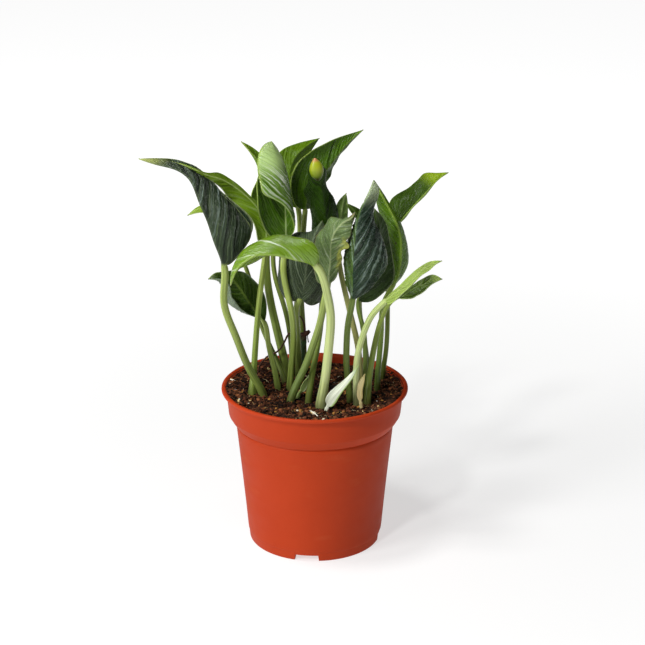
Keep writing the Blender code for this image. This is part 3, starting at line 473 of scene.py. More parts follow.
# %% Leaf routes
LEAVES = {
    "leaf_left_drooping": dict(
        stem=[(-32.5, -12, 101), (-40.5, -15, 120), (-50, -19, 147), (-56, -22, 169),
              (-55, -24, 191)],
        rib=[(-57, -25, 200), (-60, -25, 208), (-64, -23, 220), (-70, -19, 233), (-76, -12, 244),
             (-85, -7, 249), (-96, -3, 251), (-108, 0, 254)],
        left=[(-46.5, -26, 200), (-40, -25, 208.5), (-38.5, -22, 215.5), (-43, -18, 222),
              (-49.5, -15, 228.5), (-56, -12, 234), (-61, -10, 240.5), (-68, -8, 245),
              (-77.5, -5, 249.5), (-87.5, -3, 252.5)],
        right=[(-47, -15, 196), (-42, -10, 203), (-38.5, -6, 209.5), (-38.5, -3.5, 215),
               (-42.5, -2, 220.5), (-49, -0.5, 226), (-56, 1, 231.5), (-60.5, 2, 235),
               (-64.5, 3.5, 240), (-69, 4.5, 244.5), (-74, 4, 248.5), (-78.5, 3, 250.5),
               (-83.5, 2, 252.5), (-93, 1, 254)],
        radius=(2.5, 2.3), foot=0.2, bow=(-0.16, -0.12),
        upper="22381e", under="26341f", vein="6f7f58", stalk=("75853f", "98a858"), tip="a3ac5c",
        margin="a9b684", vein_show=0.1, grit=0.1, streaks=0.9, rib_show=0.2, rough=0.3, pucker=1.8,
        spacing=6.5,
        slant=2.2, wave=(0.7, 0.3), waves=3.0, seed=1.0, shine=0.25, quilt=0.2,
        folds=(0.85, 0.4, "94a69c", 1.0), tip_from=0.8),
    "leaf_left_long": dict(
        stem=[(-39.5, -10.5, 101), (-38.5, -6, 121), (-36.5, -2, 147), (-34, 3, 170),
              (-30.5, 7, 198)],
        rib=[(-31.5, 9, 212), (-38, 10, 223), (-47, 10, 231.5), (-55, 8, 237.5), (-61, 4, 241),
             (-67, -0.5, 244), (-72.5, -3, 247.5), (-79, -3, 250), (-87.5, -2, 252.5)],
        left=[(-35, 4, 199.5), (-36.5, 4, 206.5), (-38.5, 5, 212), (-43, 6, 217.5),
              (-50.5, 6.5, 222),
              (-55, 5, 229.5), (-59, 1.5, 236), (-62.5, -1, 239.5), (-68.5, -4.5, 243.5),
              (-75, -5.5, 247.5), (-80.5, -4, 250.5), (-85, -2.5, 252)],
        right=[(-25, 11, 204), (-29, 15, 213), (-36.5, 17, 221.5), (-45, 18, 230),
               (-53.5, 15, 237.5),
               (-60.5, 9, 243), (-65, 4, 244), (-69.5, 0, 246), (-76, -2, 249.5),
               (-82, -2, 251.5)],
        radius=(2.0, 1.7), foot=1.0, bow=(-0.1, -0.1),
        upper="6f9018", under="6a8c26", vein="b0c476", stalk=("7f9440", "a3b45c"), tip="8fa82c",
        margin="bccb90", vein_show=0.2, grit=0.1, streaks=0.35, pucker=0.35, spacing=6.5,
        slant=1.8,
        wave=(0.4, 0.3), waves=3.0, seed=2.0, rib_show=0.8, rim_from=0.93,
        folds=(0.35, 0.35, "b4c88c", 1.0)),
    "leaf_left_small": dict(
        stem=[(-19, 7, 101), (-23, 12, 113), (-32.5, 18, 133), (-38, 21, 151), (-43, 22, 173),
              (-47, 22, 184), (-52, 21, 197)],
        rib=[(-57, 20, 208), (-64, 18, 216), (-72, 16, 218), (-80, 13, 214)],
        left=[(-56, 18, 202), (-62, 15, 212), (-71, 13, 216)],
        right=[(-53, 24, 209), (-61, 23, 217), (-71, 20, 219)],
        radius=(1.6, 1.3), foot=0.3, bow=(-0.1, -0.1),
        upper="83a030", under="86a43c", vein="a9bd64", stalk=("75853f", "8c9c4c"), tip="86a03c",
        margin="b3c37c", vein_show=0.2, grit=0.1, pucker=0.15, wave=(0.2, 0.2), seed=3.0),
    "leaf_left_cup": dict(
        stem=[(-23.5, -2.5, 101), (-26.5, 1, 118), (-30, 4, 134), (-32, 5, 145)],
        rib=[(-37, 6, 152), (-43.5, 8, 161), (-50, 8, 171), (-56, 4, 178), (-62, -1, 180.5),
             (-66.5, -6, 178)],
        left=[(-36.5, 6.5, 147.5), (-41.5, -1, 153), (-47, -6.5, 159.5), (-51.5, -9.5, 167),
              (-53, -10, 174), (-56, -9.5, 178.5), (-62, -8.5, 179)],
        right=[(-31, 11, 149.5), (-31, 14, 156), (-33.5, 16, 163.5), (-38, 16, 169.5),
               (-44, 14, 175.5),
               (-48.5, 11.5, 178), (-54.5, 8, 179), (-60, 2, 180)],
        radius=(2.0, 1.6), bow=((-0.2, -0.4, -0.45, -0.4, -0.3), -0.16),
        upper="3c5c0c", under="6f8068", vein="8fa84c", stalk=("75853f", "98a858"), tip="94a078",
        margin="86967c", rim_from=0.9, vein_show=0.25, grit=0.5, streaks=0.7, pucker=0.8,
        spacing=4.0, slant=1.3,
        wave=(0.5, 0.7), waves=5.0, seed=4.0, folds=(0.5, 0.4, "8ca06c", 1.0), highlight_from=0.52),
    "leaf_back_left": dict(
        stem=[(-18, 19.5, 101), (-20.5, 17, 118), (-26.5, 18, 145), (-30, 20, 165), (-31, 23, 185),
              (-31, 25, 197)],
        rib=[(-34, 28, 210), (-35, 31, 226), (-35, 35, 237), (-40, 40, 247), (-47, 45, 254)],
        left=[(-36, 26, 206), (-40, 25, 218), (-40, 27, 225), (-36, 31, 233), (-35, 34, 239),
              (-37, 37, 245), (-42, 41, 249)],
        right=[(-25, 31, 203), (-24, 34, 216), (-26, 39, 230), (-32, 43, 243), (-40, 46, 250)],
        radius=(2.9, 2.2), bow=(-0.1, -0.1),
        upper="56760c", under="5c7a1c", vein="86a03c", stalk=("75853f", "8a9c48"), tip="7f9f1c",
        margin="9fb84c", vein_show=0.15, grit=0.1, streaks=0.4, pucker=0.2, spacing=6.5,
        wave=(0.2, 0.2), seed=5.0),
    "leaf_back_inner": dict(
        stem=[(-15, 26.5, 101), (-15.5, 24, 122), (-20.5, 17, 155), (-25, 17, 171),
              (-26.5, 17, 186),
              (-25, 16, 200)],
        rib=[(-23, 16, 214), (-21, 17, 230), (-19, 20, 243)],
        left=[(-28, 18, 212), (-26, 20, 224), (-22, 21, 236)],
        right=[(-19, 13, 212), (-16, 14, 225), (-16, 17, 235)],
        radius=(1.7, 1.5), bow=(-0.12, -0.12),
        upper="4c6a0c", under="5c7a1c", vein="86a03c", stalk=("75853f", "8a9c48"), tip="7f9f1c",
        margin="9fb84c", vein_show=0.15, grit=0.1, streaks=0.4, pucker=0.2, wave=(0.2, 0.2),
        seed=6.0),
    "leaf_back_top": dict(
        stem=[(-7.5, 43.5, 101), (-8, 38, 130), (-9, 37, 149), (-9.5, 34, 197), (-10.5, 32, 213)],
        rib=[(-14, 33, 225), (-16, 37, 236), (-12, 42, 245), (-6, 47, 250), (3, 54, 254)],
        left=[(-18, 30, 217), (-23, 32, 228), (-25, 36, 239), (-23, 42, 247), (-14, 49, 251)],
        right=[(-7, 36, 219), (-7, 40, 231), (-6, 45, 239), (-2, 50, 247)],
        radius=(2.1, 1.7), bow=(-0.08, -0.08),
        upper="56760a", under="56701a", vein="7a943c", stalk=("75853f", "98a854"), tip="53760a",
        margin="8fa93c", vein_show=0.12, grit=0.1, streaks=0.5, rib_show=0.2, pucker=0.4,
        spacing=6.5, slant=2.0,
        rough=0.26, wave=(0.15, 0.15), seed=7.0),
    "leaf_back_right": dict(
        stem=[(-10.5, 34, 101), (-11.5, 30, 124), (-11.5, 28, 153), (-8, 23, 191), (-6, 20, 215)],
        rib=[(-4, 21, 225), (2, 24, 234), (10, 30, 242), (19, 38, 252), (31, 48, 261)],
        left=[(-12, 16, 220), (-15, 16, 230), (-12, 20, 244), (-2, 27, 252), (10, 35, 257),
              (20, 42, 259)],
        right=[(0, 26, 218), (5, 30, 227), (10, 34, 235), (14, 39, 243), (19, 44, 249),
               (25, 47, 255)],
        radius=(2.0, 1.7), bow=(-0.12, -0.1),
        upper="44680a", under="4c6a10", vein="7a943c", stalk=("75853f", "98a854"), tip="5f8416",
        margin="8fa34c", vein_show=0.12, grit=0.1, streaks=0.35, rib_show=0.6, pucker=0.3,
        spacing=7.0, slant=2.6,
        rough=0.26, wave=(0.15, 0.9), waves=6.0, seed=8.0, folds=(0.4, 0.2, "7f9a3c", 1.0)),
    "leaf_centre_hooded": dict(
        stem=[(-16, -1.5, 101), (-14, -3, 129), (-14, -8, 153), (-17.5, -9, 172), (-19.5, -8, 186),
              (-18, -2, 202)],
        rib=[(-18, 3, 213.5), (-18, 6, 225), (-17.5, 8, 236), (-19.5, 7, 247.5), (-22.5, 4, 258),
             (-26.5, -1, 265)],
        left=[(-27, -3, 204.5), (-32, -5, 213.5), (-35, -6, 224), (-35.5, -5, 234),
              (-34.5, -2, 243.5),
              (-32, 0, 251), (-29.5, 0, 259)],
        right=[(-12.5, -6, 210), (-14, -10, 219.5), (-18.5, -12, 227), (-25.5, -13, 232),
               (-31, -13, 235), (-33, -12.5, 241), (-34.5, -11, 248.5), (-34.5, -9, 255.5),
               (-33, -6, 261), (-30, -3, 264)],
        radius=(2.1, 1.9), foot=0.3,
        bow=(-0.1, (-0.2, -0.2, -0.24, -0.3, -0.4, -0.44, -0.44)),
        upper="446a08", under="567e10", vein="b4c67c", stalk=("75853f", "a3b45c"), tip="a9c47c",
        tip_from=0.62, margin="98b054", vein_show=0.2, grit=0.1, streaks=0.35, rough=0.15,
        shine=0.3, pucker=0.9,
        spacing=5.0, slant=1.6, wave=(0.2, 0.3), seed=23.0, quilt=0.0,
        folds=(0.5, 0.9, "eef4e4", 0.0), highlight_from=0.49),
    "leaf_rolled_tip": dict(
        stem=[(-4, -22, 101), (-0.5, -14, 123), (3.5, -4, 145), (5.5, 8, 169), (7, 10, 189),
              (8, 9, 204)],
        rib=[(7, 5, 215), (5, 3, 227), (4, 2, 235), (2, -3, 243), (1, -6, 250), (-1, -4, 255)],
        left=[(14, 14, 208), (14, 16, 217), (10, 13, 228), (7, 6, 237), (7, 0, 246), (3, -2, 252)],
        right=[(-0.5, 11.5, 203), (-2, 12, 213.5), (-4, 12, 224), (-6.5, 9.5, 231), (-4, 5, 238.5),
               (-4, 0, 246), (-3.5, -2, 251.5)],
        radius=(2.0, 1.8), bow=(-0.2, -0.2),
        upper="223a08", under="2c4a08", vein="3a4a1c", stalk=("6a7a36", "7f9048"), tip="6f8a1c",
        tip_from=0.97,
        margin="4f6c1c", vein_show=0.2, grit=0.3, streaks=0.9, rib_show=0.0, pucker=0.9,
        spacing=4.6, slant=2.2,
        wave=(0.5, 0.5), waves=5.0, seed=10.0, shine=0.12, folds=(0.7, 0.25, "66784c", 1.0)),
    "leaf_centre_ragged": dict(
        stem=[(-15.5, -23, 101), (-6, -21, 125), (-1, -20, 139), (3, -20, 152), (6, -20, 167),
              (8, -19, 178)],
        rib=[(9, -21, 187.5), (10, -23.5, 196.5), (10.5, -25.5, 205), (11.5, -27.5, 212),
             (14.5, -30, 218.5), (19, -31.5, 223), (23.5, -30, 225.5), (24.5, -27, 227.5)],
        left=[(12, -18, 181), (15.5, -22, 192), (17, -26, 199), (16.5, -28, 203),
              (21.5, -29.5, 207),
              (19.5, -30, 210), (22, -31.5, 214), (22.5, -31.5, 218.5), (23.5, -30.5, 222.5),
              (24.5, -27.5, 225)],
        right=[(3, -17, 179), (-0.5, -16, 190.5), (-1, -16, 201), (1.5, -17, 209),
               (4.5, -17.5, 214),
               (8, -18, 218), (9.5, -19, 222), (14.5, -21, 222), (20, -23.5, 222),
               (23, -24, 224.5)],
        radius=(2.4, 2.1), bow=(-0.08, -0.1),
        upper="54703a", under="627a44", vein="a9b584", stalk=("66793a", "98a85c"), tip="7a5636",
        tip_from=0.86,
        margin="86744c", vein_show=0.5, grit=0.7, streaks=0.9, rib_show=0.5, pucker=1.2,
        spacing=5.0, slant=1.4,
        wave=(0.9, 0.5), waves=7.0, seed=11.0, quilt=0.4, shine=0.25, patch=(0.2, 0.62, "a3a84c"),
        folds=(0.45, 0.5, "c3ccb4", 1.0), highlight_from=0.5),
    "leaf_small_pale": dict(
        stem=[(29.5, -7, 101), (27.5, -2, 132), (24, 2, 147), (19.5, 6, 165), (16, 10, 181),
              (15, 13, 195)],
        rib=[(16, 15, 204), (17, 18, 214), (20, 23, 226)],
        left=[(12, 16, 200), (12, 19, 212), (15, 21, 221)],
        right=[(19, 17, 199), (21, 20, 211), (21, 22, 220)],
        radius=(2.0, 1.6), bow=(-0.1, -0.1),
        upper="6c8a3c", under="769248", vein="a3b876", stalk=("a09c60", "a9ae6c"), tip="86a04e",
        margin="a9bb84", vein_show=0.2, grit=0.3, pucker=0.3, wave=(0.2, 0.2), seed=12.0),
    "leaf_small_dark": dict(
        stem=[(35, 1, 101), (32.5, 3, 131), (29, 4, 153), (30, 5, 176), (32, 7, 198)],
        rib=[(30, 8, 209), (25, 9, 218), (20, 10, 223)],
        left=[(28, 5, 205), (26, 6, 214), (22, 8, 219)],
        right=[(34, 11, 208), (30, 12, 217), (24, 11, 221)],
        radius=(1.4, 1.2), bow=(-0.1, -0.1),
        upper="33480c", under="40581c", vein="66803c", stalk=("6a7a36", "75853f"), tip="56682a",
        margin="6c863a", vein_show=0.2, grit=0.2, pucker=0.2, wave=(0.2, 0.2), seed=13.0),
    "leaf_centre_hanging": dict(
        stem=[(-10.5, 12.5, 101), (-10.5, 6, 118), (-11.5, 1, 144), (-11.5, -3, 158),
              (-9, -7, 166)],
        rib=[(-6, -11, 177), (-5, -13, 188), (-3, -11, 197), (0, -5, 206), (5, 2, 214)],
        left=[(-2, -4, 160), (5, -1, 163), (7, 0, 176), (8, 1, 188), (8, 2, 201)],
        right=[(-16, -2, 162), (-21, 5, 166), (-23, 9, 176), (-22, 11, 189), (-17, 11, 199),
               (-10, 9, 204), (-3, 5, 204)],
        radius=(2.2, 1.9), bow=(-0.14, -0.18),
        upper="28361c", under="36462c", vein="8c9a78", stalk=("75853f", "98a85c"), tip="66774e",
        margin="a0ad8a", vein_show=0.8, grit=0.4, streaks=0.9, rib_show=0.3, pucker=1.1,
        spacing=3.4, slant=2.4,
        wave=(0.3, 0.4), waves=4.0, seed=14.0, quilt=0.5, shine=0.25,
        folds=(0.6, 0.5, "a9b89c", 1.0), highlight_from=0.5),
    "leaf_right_glossy": dict(
        stem=[(22.5, -20.5, 101), (20, -23, 128), (20, -24, 140), (21, -25, 156),
              (23.5, -27, 171)],
        rib=[(24, -31, 184), (24, -34, 198), (25, -35, 211), (26, -34, 221), (29, -31, 231),
             (33, -28, 239), (36, -25, 247)],
        left=[(31, -25, 175), (39, -24, 183), (44, -23, 193), (44, -22, 203), (40, -21, 213),
              (36, -21, 222), (37, -22, 232), (39, -23, 241)],
        right=[(21, -21, 176.5), (19, -15.5, 186), (19, -13, 196.5), (22, -14, 207.5),
               (26.5, -18, 218.5), (29, -23, 228.5), (33, -26, 240)],
        radius=(2.1, 1.9), bow=(-0.16, -0.1),
        upper="46601c", under="44601c", left_half="14301a", vein="5c6f58",
        stalk=("667638", "6e823c"), tip="a9b890",
        tip_from=0.75, margin="7f8f68", vein_show=0.2, grit=0.45, streaks=0.8, rib_show=0.0,
        rough=0.26, shine=0.3,
        pucker=1.7, spacing=5.0, slant=1.9, wave=(0.4, 0.4), waves=4.0, seed=15.0, quilt=0.35,
        folds=(0.65, 0.65, "a3b8ac", 1.0), highlight_from=0.5),
    "leaf_right_behind": dict(
        stem=[(32.5, -19, 101), (32, -12, 129), (31, -10, 145), (28.5, -9, 155), (27.5, -8, 164)],
        rib=[(32, -10, 174), (36, -12, 186), (38.5, -13, 199.5), (40, -13, 211.5),
             (39, -12.5, 219.5),
             (37, -12, 225.5)],
        left=[(28, -6, 174), (28, -5, 185), (31, -5, 198), (34, -7, 211.5), (36, -9, 220)],
        right=[(34.5, -6, 163), (43.5, -4, 168.5), (49.5, -3, 176), (50, -3, 184.5),
               (48, -4, 196.5),
               (46, -6, 208), (42.5, -9, 218.5)],
        radius=(1.6, 1.4), bow=(-0.1, -0.12),
        upper="2c4410", under="2f480f", vein="56684a", stalk=("667638", "6e823c"), tip="46582a",
        tip_from=0.8,
        margin="98a47c", vein_show=0.2, grit=0.4, streaks=0.6, rib_show=0.2, pucker=0.5,
        spacing=4.5, wave=(0.3, 0.4),
        waves=4.0, seed=16.0, folds=(0.5, 0.2, "66784c", 1.0)),
    "leaf_right_folded": dict(
        stem=[(40, -3.5, 101), (41, -1, 120), (42.5, 2, 143), (44, 4, 159), (49.5, 5, 170)],
        rib=[(53, 3, 180), (54, 2, 189), (54, 3, 200), (52, 5, 209), (46, 8, 221), (38, 12, 236)],
        left=[(55, 10, 174), (59, 12, 184), (59, 13, 193), (56, 14, 204), (50, 15, 215),
              (44, 15, 226)],
        right=[(47, 9, 172), (45, 12, 182), (45, 13, 196), (43, 13, 208), (39, 13, 223)],
        radius=(1.9, 1.6), bow=(-0.12, -0.1),
        upper="4a6c0e", under="507410", vein="93ad4a", stalk=("5a7030", "7f9440"), tip="6f8830",
        margin="93a95c", vein_show=0.15, grit=0.1, streaks=0.5, rib_show=0.5, rough=0.26,
        pucker=0.35, spacing=6.5,
        slant=2.0, wave=(0.2, 0.2), seed=17.0, spots=[(-2.5, 9.0, 1.1, "2b1a10"),
                                                      (3.0, 30.0, 0.9, "3a2a16")],
        folds=(0.4, 0.25, "8fae4c", 1.0)),
    "leaf_front_arch": dict(
        stem=[(4, -29.5, 101), (6.5, -31, 120), (9, -33, 144), (10, -35, 164), (7, -37, 183),
              (1.5, -39, 197)],
        rib=[(-4, -41, 201), (-11, -43, 203), (-18, -44, 205), (-27, -44, 206), (-35, -43, 205),
             (-40, -42, 202), (-46, -40, 196), (-51, -37, 184)],
        left=[(3, -42, 204), (0, -40, 211), (-7, -37, 214), (-16, -34, 215), (-26, -33, 214),
              (-34, -33, 211), (-41, -34, 207), (-47, -35, 200), (-50, -36, 193)],
        right=[(3, -31, 197), (-1, -28, 203), (-8.5, -27, 206), (-17, -28, 207), (-25, -29, 204),
               (-31, -30, 200), (-36.5, -30, 197), (-41.5, -31, 196), (-46, -32, 194.5),
               (-49.5, -34, 190)],
        radius=(3.0, 2.5), foot=0.5, bow=(-0.2, -0.1),
        upper="78963c", under="6a8c1c", vein="98b04c", stalk=("bac684", "b4c278"), tip="98a95e",
        tip_from=0.94,
        margin="aac068", vein_show=0.12, grit=0.05, streaks=0.6, rough=0.12, shine=0.6, pucker=0.3,
        spacing=6.5,
        slant=2.4, wave=(0.3, 0.2), waves=4.0, seed=18.0, folds=(0.0, 0.6, "eef6dc", 1.0)),
    "leaf_right_high": dict(
        stem=[(44, 18.5, 101), (46, 15, 121), (47, 18, 150), (48, 20, 176), (50.5, 20, 196),
              (53, 19, 207)],
        rib=[(57, 20, 211), (61, 22, 216), (70, 26, 224), (78, 29, 233), (85, 32, 237)],
        left=[(49.5, 24, 210), (48, 30, 217), (51.5, 33, 221), (56, 35, 223.5), (60.5, 36, 226),
              (64, 37, 229), (66.5, 37, 231.5), (69, 36.5, 234.5), (75.5, 34.5, 236)],
        right=[(55, 13, 211.5), (60.5, 13.5, 218), (67, 17, 224.5), (73.5, 22, 230),
               (79.5, 27, 234.5)],
        radius=(1.7, 1.4), bow=(0.12, 0.1),
        upper="36500c", under="8fa75c", vein="7a904c", stalk=("6a7a36", "8a9c48"), tip="86a01a",
        tip_from=0.62,
        margin="93ae48", vein_show=0.12, grit=0.0, streaks=0.4, rib_show=0.3, rough=0.3,
        pucker=0.5, spacing=7.0,
        slant=2.4, wave=(0.25, 0.1), waves=4.0, seed=19.0, shine=0.2,
        folds=(0.3, 0.3, "7f9a4c", 1.0)),
    "leaf_right_rolled": dict(
        stem=[(26.5, -24, 101), (26, -26, 125), (27.5, -28, 139), (31, -29, 152), (36.5, -30, 164),
              (42.5, -31, 171)],
        rib=[(48, -32, 177), (54, -33, 182), (60, -33, 187), (65, -32, 192), (71, -30, 195),
             (78, -28, 197)],
        left=[(45, -28, 174), (51, -26, 179), (56, -25, 184), (61, -25, 189), (66, -25, 193),
              (71, -26, 196)],
        right=[(46, -36, 172), (52, -38, 178), (59, -38, 185), (64, -37, 190), (70, -34, 193),
               (74, -31, 196)],
        radius=(2.2, 1.9), foot=0.15, bow=(-0.25, -0.25),
        upper="98b054", under="98ae54", vein="b3c482", stalk=("bcc78c", "b4c47c"), tip="8fae38",
        margin="a3b964", vein_show=0.2, grit=0.05, streaks=0.5, rib_show=0.2, rough=0.3,
        pucker=0.15, spacing=7.0,
        slant=3.0, wave=(0.15, 0.15), seed=20.0),
    "leaf_right_curled": dict(
        stem=[(33, -25.5, 101), (34.5, -20, 118), (37.5, -17, 137), (41.5, -14, 153),
              (46, -12, 163),
              (51, -11, 167.5)],
        rib=[(57, -11, 170), (62, -11, 174), (68, -10, 176), (74, -8, 179), (80, -6, 178)],
        left=[(55, -5, 170), (61, -3, 173), (68, -2, 177), (74, -3, 180)],
        right=[(55, -15, 168), (61, -18, 170), (66, -17, 172), (72, -13, 176)],
        radius=(2.2, 1.5), foot=0.3, bow=(-0.15, -0.2),
        upper="445c18", under="4e6a20", vein="98aa6c", stalk=("6a7a36", "8a9c48"), tip="98ae5a",
        tip_from=0.72,
        margin="a3b478", vein_show=0.2, grit=0.0, streaks=0.9, rib_show=0.15, rough=0.3,
        pucker=0.9, spacing=5.0,
        wave=(0.5, 0.5), waves=3.4, seed=21.0, folds=(0.5, 0.4, "a9b88c", 1.0)),
}

# %% Sheath routes
SHEATHS = {
    "sheath_front": dict(
        stem=[(7.5, -34.5, 101), (8, -35, 103)],
        rib=[(9.5, -36, 107), (15, -37, 115), (21, -36.5, 122.5), (27.5, -34.5, 131)],
        left=[(7, -36, 109), (10.5, -36, 115), (16, -36, 120), (22, -35, 125.5)],
        right=[(11, -37, 104.5), (15, -37.5, 110.5), (19.5, -37.5, 117.5), (24.5, -36, 124.5)],
        radius=(1.3, 1.2), bow=(-0.1, -0.1),
        upper="dfe4d4", under="dfe4d4", fibre="a9ba74", edge="7f9c44"),
    "sheath_right": dict(
        stem=[(29.5, -30.5, 102), (29, -31, 105)],
        rib=[(28, -31.5, 109), (28, -32, 114.5), (29.5, -31.5, 120), (31.5, -30.5, 124)],
        left=[(27, -31.5, 107.5), (26.5, -32, 113), (27.5, -32, 118.5)],
        right=[(30, -31.5, 107.5), (30, -32, 113), (31, -31.5, 118.5)],
        radius=(1.1, 1.0), bow=(-0.1, -0.1),
        upper="d8cc94", under="e0d6a2", fibre="a89a60", edge="b4a568"),
    "sheath_middle": dict(
        stem=[(-10.5, -16.5, 103), (-10, -15.2, 104.5)],
        rib=[(-8, -13.5, 106.5), (-5.5, -13, 111.5), (-3, -12, 116.5)],
        left=[(-9.5, -14, 106.5), (-6.5, -13.5, 112.5)],
        right=[(-6.5, -13.5, 105.5), (-4, -12.5, 111)],
        radius=(1.1, 1.0), bow=(-0.1, -0.1),
        upper="8fa55c", under="a0b36c", fibre="6f8440", edge="b9c896"),
}

# %% [markdown]
# ## The leaf's skin: a waxy cuticle over green flesh
# A leaf's colour comes from the flesh and its shine from a thin clear wax over it, so
# the shader is a dielectric of IOR 1.45 that is fairly smooth. The rib, the side
# veins and the margin hold less green and are paler. Everything is drawn in the leaf's own plane,
# whose two numbers are millimetres from the rib and millimetres along it, so a vein is as wide
# on a big leaf as on a small one. Dried leaves have a grit of fine cells that breaks the shine.
# Shade is painted into the creases and highlights onto the ridges.

# %% Leaf material
# What a leaf's look says, with shares from 0 to 1:
#   vein_show, rib_show  share of the vein's colour on the side veins and on the rib
#   streaks, grit        share of the streaks, and of the pale flecks and fine cells
#   rough, shine         roughness of the wax, and how much light it gives back
#   tip_from, rim_from   where the tip's colour starts along the leaf, and the margin's across it
#   left_half            the colour left of the rib, where it differs
#   spots                place across and along in millimetres, size and colour of each
#   patch                a dried zone along the left margin: start, end and colour
#   quilt                height of the cushions between the side veins
#   folds                share of painted crease shade, share of painted highlight, its colour, its share on top
#   highlight_from           the noise value at which the painted highlight starts
VEIN_HALF = 0.07            # of the spacing between side veins
CELL_PER_METRE = 750.0      # puckered cells of about 1.3 mm
MOTTLE_PER_METRE = 55.0
FLECK_PER_METRE = 1500.0
LOOK = dict(vein_show=0.3, grit=0.2, rough=0.3, streaks=0.5, tip_from=0.86, rib_show=0.45,
            rim_from=0.95,
            left_half=None, shine=0.2, spots=(), patch=None, quilt=0.15, folds=None,
            highlight_from=0.56,
            **PLAIN)


